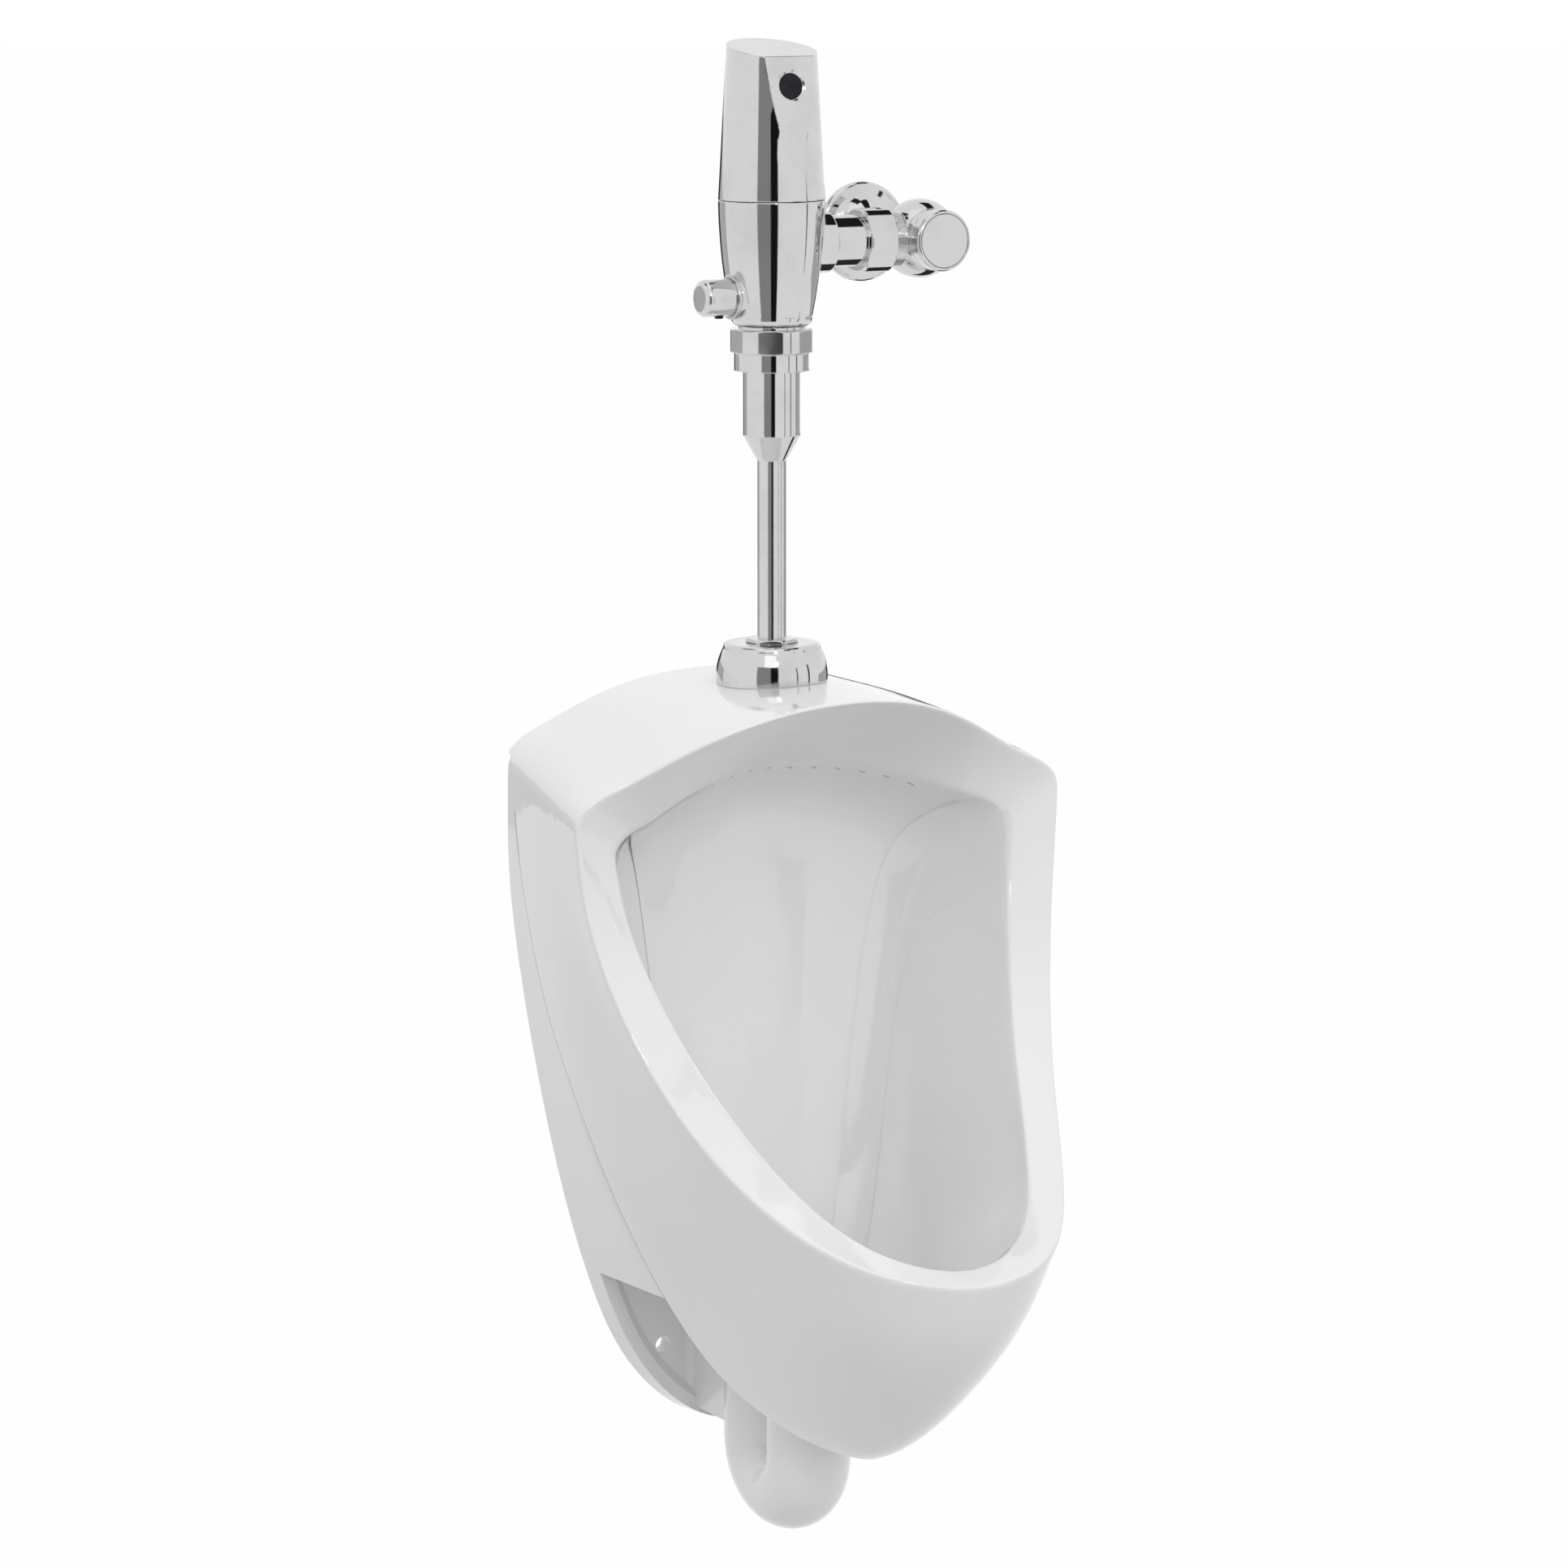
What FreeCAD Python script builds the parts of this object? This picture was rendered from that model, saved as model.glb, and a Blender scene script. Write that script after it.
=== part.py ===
"""Wall-hung china urinal with an exposed sensor flush valve.

Millimetres, +Z up. The finished wall is the plane Y = 0, the room is on its -Y side, and the
origin is the middle of the drain outlet on that plane. X = 0 is the middle of the bowl.
"""
import FreeCAD, Part
import math
import os

V = FreeCAD.Vector

# China body. Heights are above the outlet, drops are below the china's top.
CHINA_TOP = 470.0
RIM_HALF = 185.0
RIM_DEPTH = 150.0
RIM_SHOULDER_DROP = 66.5
HOOD_DEPTH = 197.0
LIP_DEPTH = 365.0
LIP_DROP = 354.0
RIM_WIDE = 35.0
RIM_THICK = 24.0
HOOD_THICK = 53.5
WALL_INSET = 24.0
BACK_WALL_DEPTH = 50.0
SHOULDER_SHARE = 0.3
BOWL_SHARE = 0.85
PLATE_FOOT = 62.0
SKIRT_TIP_DEPTH = 238.0
SKIRT_TIP_DROP = 511.0
PANEL_STEP = 3.0
EDGE_TIP_AHEAD = 12.0
EDGE_TIP_RISE = 5.0
RECESS_TOP = 59.0
PLATE_THICK = 14.0
PLATE_LIP = 5.0
PLATE_LIP_WIDE = 10.0
PLATE_COVE = 7.0
SPANNER_IN = 28.9
SPANNER_DEEP = 98.0
BOLT_SPACING = 99.2
BOLT_HOLE_R = 5.85
HOLLOW_DEPTH = 38.0
HOLLOW_WALL = 18.0
HOLLOW_FLOOR = 78.0
HANGER_LIP_DEPTH = 14.0
HANGER_LIP_DROP = 75.0
WATERWAY_HALF = 42.0
WATERWAY_TOP = 14.0
WATERWAY_TALL = 22.0
WATERWAY_ROOM = 2.0
WING_WIDE = 16.0
WING_TALL = 14.0
WASH_SLOTS = 12
WASH_SLOT_PITCH = 16.5
WASH_SLOT_WIDE = 5.0
WASH_SLOT_THICK = 3.0
WASH_SLOT_BEHIND = 9.0

# Trap under the bowl and the outlet behind it.
DRAIN_DEPTH = 131.0
DRAIN_Z = 28.0
DRAIN_R = 24.0
CUP_R = 58.0
CUP_WALL = 12.0
CUP_FOOT = 10.0
TRAP_R = 28.8
TRAP_BORE = 20.0
TRAP_BEND = 30.0
TRAP_BEND_Z = -54.7
TRAP_WEB_HALF = 12.0
TRAP_BACK_HALF = 26.0
TRAP_BACK_FOOT = 46.0
TRAP_WEB_DROP = 21.0
OUTLET_SEAT_R = 35.0
OUTLET_SEAT_DEEP = 6.0
OUTLET_GASKET_BORE = 22.0

# Clearances: a seat, a thread or slip fit.
SEAT_FIT = 0.3
THREAD_FIT = 0.05

# Strainer.
STRAINER_FIT = 1.0
STRAINER_THICK = 3.0
STRAINER_HOLE_R = 2.6
STRAINER_RINGS = 2
STRAINER_RING_PITCH = 8.0

# Wall hangers.
HANGER_FROM_RIM = 103.0
HANGER_WIDE = 60.0
HANGER_STEEL = 3.0
HANGER_TALL = 58.0
HANGER_HOOK = 16.0
HANGER_SCREW_R = 3.4
HANGER_SCREW_SPACING = 36.0

# Flush connection. Rises are above the china's top.
AXIS_DEPTH = 80.0
SPUD_HOLE_R = 17.0
SPUD_R = 13.0
SPUD_BORE = 8.4
SPUD_RISE = 17.0
SPUD_FLARE_R = 20.0
SPUD_FLARE_THICK = 4.0
SPUD_GASKET_R = 21.5
SPUD_GASKET_TALL = 7.0
SPUD_GASKET_NOSE = 6.0
SPUD_WASHER_R = 23.0
SPUD_WASHER_THICK = 1.6
LOCKNUT_FLATS = 38.0
LOCKNUT_R = 20.8
LOCKNUT_TALL = 7.5
COUPLING_FLATS = 31.0
COUPLING_R = 17.3
COUPLING_FOOT = 10.5
COUPLING_TALL = 17.9
SLIP_GASKET_TALL = 5.0
FLANGE_R = 37.5
FLANGE_TOP_R = 32.7
FLANGE_TALL = 25.6
FLANGE_ROUND = 3.5
FLANGE_WALL = 1.4
FLANGE_SKIRT = 3.5
TUBE_R = 9.525
TUBE_WALL = 1.0
TUBE_FOOT = 3.5
TUBE_STRAIGHT = 144.5
TAPER_TALL = 17.0
BREAKER_R = 19.05
BREAKER_TALL = 48.0
TUBE_LIP_R = 22.0
TUBE_LIP_THICK = 2.0
BREAKER_CAGE_TALL = 26.0
BREAKER_CAGE_WALL = 2.0
BREAKER_SLEEVE_TALL = 34.0
BREAKER_SLEEVE_WALL = 1.5
OUTLET_NUT_FLOOR = 5.0
OUTLET_NUT_TALL = 28.0
OUTLET_NUT_FLATS = 52.4
OUTLET_NUT_R = 27.4
OUTLET_COLLAR_R = 25.0
OUTLET_COLLAR_TALL = 12.0
OUTLET_THREAD_R = 22.4

# Valve body, upwards from its foot, and drops below the split under the sensor cover.
BODY_GAP = 2.0
BODY_FOOT_R = 24.0
HIP_TALL = 6.5
BODY_HIP_R = 27.2
WAIST_TALL = 32.5
BODY_WAIST_R = 32.6
CHEST_TALL = 43.7
SPLIT_R = 35.5
STRIP_CUT = 0.65
CHAMBER_R = 26.5
CHAMBER_DEEP = 48.2
OUTLET_BORE = 13.0
COVER_LEDGE_R = 31.2
COVER_LEDGE_DEEP = 2.7
SUPPLY_DROP = 28.6
INLET_BOSS_R = 20.6
INLET_BOSS_X = 40.5
INLET_BORE = 11.0

# Flush mechanism.
SEAT_R = 18.0
SEAT_TALL = 11.5
PISTON_SEAL_TALL = 2.5
PISTON_SEAL_BORE = 11.0
PISTON_DISC_TALL = 4.5
PISTON_STEM_R = 12.0
PISTON_TALL = 27.0
PISTON_HEAD_TALL = 7.0
INNER_COVER_TALL = 5.0
PILOT_R = 1.2
SOLENOID_FRONT = 4.0
SOLENOID_R = 10.0
SOLENOID_TALL = 27.0
PLUNGER_R = 3.5
PLUNGER_TALL = 16.0
PLUNGER_FIT = 0.1
PLUNGER_TRAVEL = 2.5

# Sensor cover. Its slanted top is measured on the axis, and its other heights are drops below that.
COVER_GASKET_TALL = 0.6
COVER_GASKET_INSET = 0.5
COVER_TALL = 99.8
COVER_TOP_R = 30.0
COVER_SLOPE = 11.0
COVER_WALL = 2.4
FACET_DROP = 2.5
FACET_TOP_R = 23.6
FACET_TALL = 61.0
FACET_LEAN = 9.3
LENS_DROP = 24.0
LENS_R = 8.6
LENS_BEVEL = 1.8
LENS_SUNK = 0.8
CARRIER_BACK = 10.0
CARRIER_THICK = 2.0
CARRIER_DROP = 22.5
BATTERY_WIDE = 30.0
BATTERY_TALL = 60.0
BATTERY_THICK = 13.0
MODULE_WIDE = 26.0
MODULE_TALL = 26.0
MODULE_BEHIND = 3.4

# Override button, below the valve's chamber, with distances to the left of the valve's axis.
BUTTON_DROP = 15.0
BUTTON_SOCKET_X = 30.0
BUTTON_FLOOR_X = 23.5
BUTTON_R = 12.2
BUTTON_END_X = 54.0
BUTTON_FLANGE_R = 13.0
BUTTON_FLANGE_THICK = 2.0
BUTTON_ROUND = 4.0
BUTTON_STEM_R = 4.0
BUTTON_STEM_X = 18.0
BUTTON_HOLLOW_R = 8.2
BUTTON_HOLLOW_X = 45.0
SPRING_R = 7.6
SPRING_WALL = 1.2
COLLAR_R = 14.6
COLLAR_WIDE = 2.0

# Supply run, with distances to the right of the valve's axis.
TAILPIECE_R = 17.3
TAILPIECE_BORE = 12.5
TAILPIECE_END_X = 30.0
TAILPIECE_LIP_X = 66.0
TAILPIECE_LIP = 3.0
TAILPIECE_SEAL_X = 4.0
TAILPIECE_SEAL = 1.2
STOP_NUT_END_X = 85.5
STOP_NUT_FLATS = 41.5
STOP_NUT_R = 22.3
STOP_NUT_LIP = 1.5

# Stop, with depths in front of the wall.
STOP_X = 113.5
STOP_NECK_R = 18.75
STOP_NECK_BORE = 11.0
STOP_BALL_R = 26.5
STOP_BARREL_R = 20.6
STOP_BARREL_DEPTH = 103.0
STOP_CHAMBER_R = 13.0
STOP_SEAT_DEPTH = 70.0
STOP_SEAT_BORE = 8.0
STOP_INLET_R = 16.0
STOP_INLET_BORE = 10.6
STOP_INLET_DEPTH = 47.0
BONNET_R = 16.0
BONNET_FOOT_DEPTH = 96.0
BONNET_HEAD_DEPTH = 106.0
BONNET_HEAD_R = 18.3
SPINDLE_R = 4.5
SPINDLE_END_DEPTH = 80.0
SPINDLE_HEAD_DEPTH = 109.0
SPINDLE_SLOT = 1.6
SPINDLE_COLLAR_R = 7.0
SPINDLE_COLLAR = 2.0
SPINDLE_FIT = 0.08
STOP_PLUG_R = 10.4
STOP_PLUG_BACK = 78.0
STOP_PLUG_FRONT = 89.0
STOP_SEAL_THICK = 2.0
CAP_FACE_R = 18.0
CAP_FACE_DEPTH = 113.5
CAP_WALL = 1.5

# Supply pipe and wall flange.
ADAPTER_GRIP = 14.0
ADAPTER_BORE = 8.5
COVER_TUBE_R = 14.6
COVER_TUBE_WALL = 1.0
WALL_FLANGE_R = 34.0
WALL_FLANGE_RIM = 5.0
WALL_FLANGE_VALLEY = 26.0
WALL_FLANGE_TALL = 14.0
WALL_FLANGE_WALL = 1.2

# Places that follow from these. Rises are above the china's top.
AXIS_Y = -AXIS_DEPTH
HANGER_X = RIM_HALF - HANGER_FROM_RIM
COUPLING_TOP = COUPLING_FOOT + COUPLING_TALL
TAPER_FOOT = TUBE_FOOT + TUBE_STRAIGHT
TAPER_TOP = TAPER_FOOT + TAPER_TALL
TUBE_LIP = TAPER_TOP + BREAKER_TALL
OUTLET_NUT_FOOT = TUBE_LIP - OUTLET_NUT_FLOOR
OUTLET_NUT_TOP = OUTLET_NUT_FOOT + OUTLET_NUT_TALL
BODY_FOOT = OUTLET_NUT_TOP + BODY_GAP
BODY_HIP = BODY_FOOT + HIP_TALL
BODY_WAIST = BODY_HIP + WAIST_TALL
SPLIT_RISE = BODY_WAIST + CHEST_TALL
CHAMBER_FLOOR = SPLIT_RISE - CHAMBER_DEEP
BUTTON_RISE = CHAMBER_FLOOR - BUTTON_DROP
SUPPLY_Z = CHINA_TOP + SPLIT_RISE - SUPPLY_DROP
COVER_RISE = SPLIT_RISE + COVER_TALL
FACET_TOP = COVER_RISE - FACET_DROP
FACET_FOOT = FACET_TOP - FACET_TALL
FACET_FOOT_R = FACET_TOP_R + FACET_LEAN
LENS_RISE = COVER_RISE - LENS_DROP
CARRIER_TOP = COVER_RISE - CARRIER_DROP
MOUTH_HALF = RIM_HALF - RIM_WIDE
MOUTH_CROWN_DEPTH = HOOD_DEPTH * 0.487
MOUTH_DEPTH = RIM_DEPTH * 0.92


def rod(radius, start, end):
    """Round bar from one point to another."""
    run = V(*end) - V(*start)
    return Part.makeCylinder(radius, run.Length, V(*start), run)


def pipe(radius, bore, start, end):
    """Round tube from one point to another."""
    return rod(radius, start, end).cut(rod(bore, start, end))


def turned(profile, centre, axis=V(0, 0, 1), out=V(1, 0, 0)):
    """Solid of revolution of a closed profile of (radius, height) points and three-point arcs."""
    def place(point):
        return V(*centre) + out * point[0] + axis * point[1]

    edges = []
    last = profile[0]
    for step in profile[1:] + [profile[0]]:
        if isinstance(step[0], tuple):
            edges.append(Part.Arc(place(last), place(step[0]), place(step[1])).toShape())
            last = step[1]
        elif place(step).distanceToPoint(place(last)) > 1e-6:
            edges.append(Part.LineSegment(place(last), place(step)).toShape())
            last = step
    return Part.Face(Part.Wire(edges)).revolve(V(*centre), axis, 360)


def hexagon(flats, corner, start, end):
    """Hexagonal bar, one corner facing the room, its corners turned down and sloped off at both ends."""
    run = V(*end) - V(*start)
    turn = FreeCAD.Rotation(run, 60)
    points = [V(0, -flats / math.sqrt(3), 0)]
    for _ in range(6):
        points.append(turn.multVec(points[-1]))
    outline = Part.makePolygon([V(*start) + p for p in points])
    tall = run.Length
    slope = (corner - flats / 2) * math.tan(math.radians(30))
    round_bar = turned(
        [(0, 0), (flats / 2, 0), (corner, slope), (corner, tall - slope), (flats / 2, tall), (0, tall)],
        start, run / tall, V(0, -1, 0))
    return Part.Face(outline).extrude(run).common(round_bar)


def column(rise):
    """Point on the flush column's axis at a rise above the china's top."""
    return (0, AXIS_Y, CHINA_TOP + rise)


def on_supply(x):
    """Point on the supply run's axis."""
    return (x, AXIS_Y, SUPPLY_Z)


def on_stop(depth):
    """Point on the stop's axis, which runs square to the wall."""
    return (STOP_X, -depth, SUPPLY_Z)


# Moulded china. Points on it are (half width, depth, drop).

def part_way(start, end, shares):
    """Point whose three values lie at shares of the way from one point to another."""
    return tuple(a + (b - a) * share for a, b, share in zip(start, end, shares))


def along(keys, shares):
    """Points at shares of the length of a smooth line through the key points."""
    line = Part.BSplineCurve()
    line.interpolate([V(x, -depth, CHINA_TOP - drop) for x, depth, drop in keys])
    return [line.value(line.parameterAtDistance(share * line.length())) for share in shares]


def loop(crown, corner, tip, top, side, curve=SHOULDER_SHARE):
    """Closed loop from the crown, round the corner and down the side to the tip, and mirrored.

    Top and side hold the shares of the way, for each of a point's values, that shape the two runs.
    Curve is the share of the way to the points beside the corner at which its rounding begins.
    """
    over = along([crown] + [part_way(crown, corner, s) for s in top] + [corner], (0, 0.3, 0.58, 0.82))
    down = along([corner] + [part_way(corner, tip, s) for s in side] + [tip],
                 (0.12, 0.26, 0.41, 0.56, 0.71, 0.86, 1))
    turn = V(corner[0], -corner[1], CHINA_TOP - corner[2])
    before = turn + (over[-1] - turn) * curve
    after = turn + (down[0] - turn) * curve
    half = over + [before, (before + after) * 0.25 + turn * 0.5, after] + down
    return half + [V(-p.x, p.y, p.z) for p in half[-2:0:-1]]


def between(first, second, share):
    """Loop part of the way from one loop to another."""
    return [p + (q - p) * share for p, q in zip(first, second)]


def level_ring(radius, depth, z, count):
    """Level circle of points, from the back round by the right."""
    turns = [2 * math.pi * i / count for i in range(count)]
    return [V(radius * math.sin(a), radius * math.cos(a) - depth, z) for a in turns]


def upright_ring(radius, depth, z, count):
    """Circle of points parallel to the wall, from the top round by the right."""
    turns = [2 * math.pi * i / count for i in range(count)]
    return [V(radius * math.sin(a), -depth, z + radius * math.cos(a)) for a in turns]


def inset(points, step):
    """Loop moved inwards, square to its own line as seen from the front."""
    count = len(points)
    moved = []
    for i, point in enumerate(points):
        run = points[(i + 1) % count] - points[i - 1]
        moved.append(point - V(-run.z, 0, run.x).normalize() * step)
    return moved


def skin(rows):
    """Solid inside a smooth skin over closed loops, of which the first and last are flat."""
    guide = rows[len(rows) // 3]
    stations = [0.0]
    for i in range(len(guide)):
        stations.append(stations[-1] + guide[i].distanceToPoint(guide[(i + 1) % len(guide)]))
    lines = []
    for row in rows:
        line = Part.BSplineCurve()
        line.interpolate(Points=row, PeriodicFlag=True, Parameters=stations)
        lines.append(line)
    first = lines[0]
    poles = [[line.getPole(i + 1) for line in lines] for i in range(first.NbPoles)]
    inner = len(rows) - 4
    surface = Part.BSplineSurface()
    surface.buildFromPolesMultsKnots(
        poles, first.getMultiplicities(), [4] + [1] * inner + [4],
        first.getKnots(), list(range(inner + 2)), True, False, first.Degree, 3)
    face = surface.toShape()
    ends = [Part.Face(Part.Wire([edge])) for edge in face.Edges if edge.isClosed()]
    shell = Part.Shell([face] + ends)
    shell.sewShape()
    return Part.Solid(shell)


def wall_loop(step=0, curve=SHOULDER_SHARE):
    """Outline of the china on the wall, moved in by a step."""
    corner = (RIM_HALF - WALL_INSET - step, 0, RIM_SHOULDER_DROP * 0.707 + step)
    return loop(
        (0, 0, step), corner, (0, 0, CHINA_TOP + PLATE_FOOT - step),
        [(0.373, 0, 0.117), (0.714, 0, 0.489)],
        [(0.019, 0, 0.237), (0.118, 0, 0.449), (0.273, 0, 0.676), (0.453, 0, 0.843), (0.671, 0, 0.948)],
        curve)


def belly_loop():
    corner = (RIM_HALF * 0.94, RIM_DEPTH * 0.5, RIM_SHOULDER_DROP * 0.842)
    return loop(
        (0, HOOD_DEPTH * 0.497, 0), corner, (0, SKIRT_TIP_DEPTH, SKIRT_TIP_DROP),
        [(0.356, 0.087, 0.098), (0.701, 0.522, 0.464)],
        [(0.023, 0.031, 0.185), (0.103, 0.092, 0.393), (0.264, 0.245, 0.624), (0.511, 0.552, 0.811),
         (0.77, 0.859, 0.949)])


def skirt_loop():
    corner = (RIM_HALF * 0.978, RIM_DEPTH * 0.767, RIM_SHOULDER_DROP * 0.932)
    return loop(
        (0, HOOD_DEPTH * 0.761, 0), corner, (0, LIP_DEPTH * 0.926, LIP_DROP * 1.198),
        [(0.359, 0.2, 0.121), (0.663, 0.571, 0.468)],
        [(0.044, 0.045, 0.215), (0.193, 0.224, 0.533), (0.436, 0.538, 0.837), (0.669, 0.865, 0.967)])


def ridge_loop():
    return loop(
        (0, HOOD_DEPTH, 0), (RIM_HALF, RIM_DEPTH, RIM_SHOULDER_DROP), (0, LIP_DEPTH, LIP_DROP),
        [(0.362, 0.191, 0.15), (0.638, 0.617, 0.48)],
        [(0.032, 0.019, 0.214), (0.13, 0.14, 0.492), (0.265, 0.367, 0.722), (0.459, 0.688, 0.899),
         (0.708, 0.921, 0.979)])


def mouth_loop():
    corner = (MOUTH_HALF, MOUTH_DEPTH, RIM_SHOULDER_DROP * 1.398)
    return loop(
        (0, MOUTH_CROWN_DEPTH, HOOD_THICK), corner, (0, LIP_DEPTH - RIM_THICK, LIP_DROP - RIM_THICK / 4),
        [(0.38, 0.357, 0.128), (0.773, 0.81, 0.615)],
        [(0.047, 0.064, 0.212), (0.16, 0.227, 0.463), (0.32, 0.493, 0.71), (0.533, 0.788, 0.902),
         (0.76, 0.951, 0.98)])


def bowl_loops():
    """Loops down the inside of the bowl, from just behind the mouth to the drain."""
    back = BACK_WALL_DEPTH
    brow = loop(
        (0, back * 1.32, HOOD_THICK * 1.383), (MOUTH_HALF * 0.92, back * 1.96, RIM_SHOULDER_DROP * 1.624),
        (0, LIP_DEPTH - RIM_THICK * 1.79, LIP_DROP * 1.045), [(0.507, 0.313, 0.235)],
        [(0.058, 0.121, 0.275), (0.188, 0.366, 0.58), (0.42, 0.732, 0.84)], BOWL_SHARE)
    wall = loop(
        (0, back, HOOD_THICK * 2.28), (MOUTH_HALF * 0.707, back * 1.16, RIM_SHOULDER_DROP * 2.015),
        (0, LIP_DEPTH * 0.745, LIP_DROP * 1.153), [(0.519, 0.125, 0.167)],
        [(0.019, 0.056, 0.314), (0.104, 0.243, 0.679), (0.434, 0.664, 0.916)], BOWL_SHARE)
    sump = loop(
        (0, back * 1.08, LIP_DROP * 0.966), (MOUTH_HALF * 0.547, back * 1.28, LIP_DROP * 0.98),
        (0, LIP_DEPTH * 0.589, LIP_DROP * 1.2), [(0.488, 0.2, 0.4)],
        [(-0.024, 0.238, 0.295), (0.268, 0.702, 0.808)], BOWL_SHARE)
    count = len(brow)
    throat = level_ring(DRAIN_R * 1.35, DRAIN_DEPTH, DRAIN_Z * 1.29, count)
    drain = level_ring(DRAIN_R, DRAIN_DEPTH, DRAIN_Z, count)
    return [brow, wall, sump, throat, drain]


def shell_edge():
    """Edge of the front shell as seen from the side, from the shoulder down to the skirt's tip."""
    tip = (SKIRT_TIP_DEPTH + EDGE_TIP_AHEAD, SKIRT_TIP_DROP - EDGE_TIP_RISE)
    keys = [(-0.024, 0.095), (0.044, 0.107), (0.076, 0.15), (0.136, 0.279), (0.2, 0.427), (0.308, 0.565),
            (0.388, 0.713), (0.448, 0.828), (0.6, 0.935), (0.8, 0.986), (1, 1)]
    line = Part.BSplineCurve()
    side = -RIM_HALF - 20
    line.interpolate([V(side, -tip[0] * depth, CHINA_TOP - tip[1] * drop) for depth, drop in keys])
    return line.toShape()


def behind_shell():
    """Everything behind the front shell's edge, as a block across the width."""
    edge = shell_edge()
    start = edge.Vertexes[0].Point
    end = edge.Vertexes[-1].Point
    below = -2 * PLATE_FOOT
    path = Part.makePolygon([end, V(end.x, end.y, below), V(start.x, start.y, below), start])
    return Part.Face(Part.Wire([edge] + path.Edges)).extrude(V(2 * RIM_HALF + 40, 0, 0))


def side_panels():
    """Solid whose sides lie one step inside the front shell's skin."""
    wall = inset(wall_loop(), PANEL_STEP)
    belly = inset(belly_loop(), PANEL_STEP)
    start = [V(p.x, 3, p.z) for p in wall]
    near = [V(p.x, -PLATE_THICK, p.z) for p in between(wall, belly, 0.12)]
    close = upright_ring(RIM_HALF / 3, HOOD_DEPTH, CHINA_TOP / 2, len(wall))
    return skin([start, near, between(wall, belly, 0.6), belly, close])


def block(x0, x1, y0, y1, z0, z1):
    """Box between two corners."""
    return Part.makeBox(x1 - x0, y1 - y0, z1 - z0, V(x0, y0, z0))


def bend(radius, centre_y, centre_z, start):
    """Bent round bar in the X = 0 plane about a centre, from a start angle, a quarter turn."""
    spot = V(0, centre_y, centre_z)
    angle = math.radians(start)
    middle = spot + V(0, math.cos(angle), math.sin(angle)) * TRAP_BEND
    across = V(0, -math.sin(angle), math.cos(angle))
    ring = Part.Face(Part.Wire([Part.makeCircle(radius, middle, across)]))
    return ring.revolve(spot, V(1, 0, 0), 90)


def trap_bend(radius, top):
    """Round bar down from the drain and round the bend to the rear leg."""
    middle = DRAIN_DEPTH - TRAP_BEND
    run = rod(radius, (0, -DRAIN_DEPTH, TRAP_BEND_Z), (0, -DRAIN_DEPTH, top))
    return run.fuse([bend(radius, -middle, TRAP_BEND_Z, 180), bend(radius, -middle, TRAP_BEND_Z, 270)])


def trap_rear():
    """Depth of the trap's rear leg."""
    return DRAIN_DEPTH - 2 * TRAP_BEND


def trap_bore():
    """Waterway of the trap: down from the drain, round the bend, up and out to the wall."""
    rear = -trap_rear()
    return trap_bend(TRAP_BORE, DRAIN_Z + 1).fuse([
        rod(TRAP_BORE, (0, rear, TRAP_BEND_Z), (0, rear, -TRAP_BEND)),
        bend(TRAP_BORE, rear + TRAP_BEND, -TRAP_BEND, 90),
        rod(TRAP_BORE, (0, rear + TRAP_BEND, 0), (0, 1, 0))])


def trap_web():
    """Web that fills the gap between the trap's legs."""
    foot = TRAP_BEND_Z - TRAP_WEB_DROP
    return block(-TRAP_WEB_HALF, TRAP_WEB_HALF, -DRAIN_DEPTH, -trap_rear(), foot, 0)


def cup(step):
    """Cone round the drain under the bowl, moved in by a step."""
    foot = TRAP_R + 1 - step
    return Part.makeCone(foot, CUP_R - step, RECESS_TOP + 2 - CUP_FOOT, V(0, -DRAIN_DEPTH, CUP_FOOT))


def trap_back():
    """Pillar that joins the trap's rear leg to the wall plate, with hollow corners at the plate."""
    rear = -trap_rear()
    plate = -PLATE_THICK
    near = plate - PLATE_COVE
    wide = TRAP_BACK_HALF + PLATE_COVE
    dip = PLATE_COVE * (1 - math.sqrt(0.5))
    edges = []
    for side in (-1, 1):
        hollow_corner = Part.Arc(
            V(side * TRAP_BACK_HALF, near, 0), V(side * (TRAP_BACK_HALF + dip), plate - dip, 0),
            V(side * wide, plate, 0))
        edges.append(hollow_corner.toShape())
        edges.append(Part.makeLine(V(side * TRAP_BACK_HALF, near, 0), V(side * TRAP_BACK_HALF, rear, 0)))
        edges.append(Part.makeLine(V(side * wide, plate, 0), V(side * wide, plate / 2, 0)))
    edges.append(Part.makeLine(V(-TRAP_BACK_HALF, rear, 0), V(TRAP_BACK_HALF, rear, 0)))
    edges.append(Part.makeLine(V(-wide, plate / 2, 0), V(wide, plate / 2, 0)))
    outline = Part.Wire(Part.__sortEdges__(edges))
    outline.translate(V(0, 0, -TRAP_BACK_FOOT))
    pillar = Part.Face(outline).extrude(V(0, 0, TRAP_BACK_FOOT + RECESS_TOP + 1))
    leg = rod(TRAP_R, (0, rear, TRAP_BEND_Z), (0, rear, RECESS_TOP + 1))
    return pillar.fuse(leg.cut(cup(CUP_WALL)))


def closed_line(points):
    """Smooth closed wire through points."""
    line = Part.BSplineCurve()
    line.interpolate(Points=points, PeriodicFlag=True)
    return Part.Wire([line.toShape()])


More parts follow.
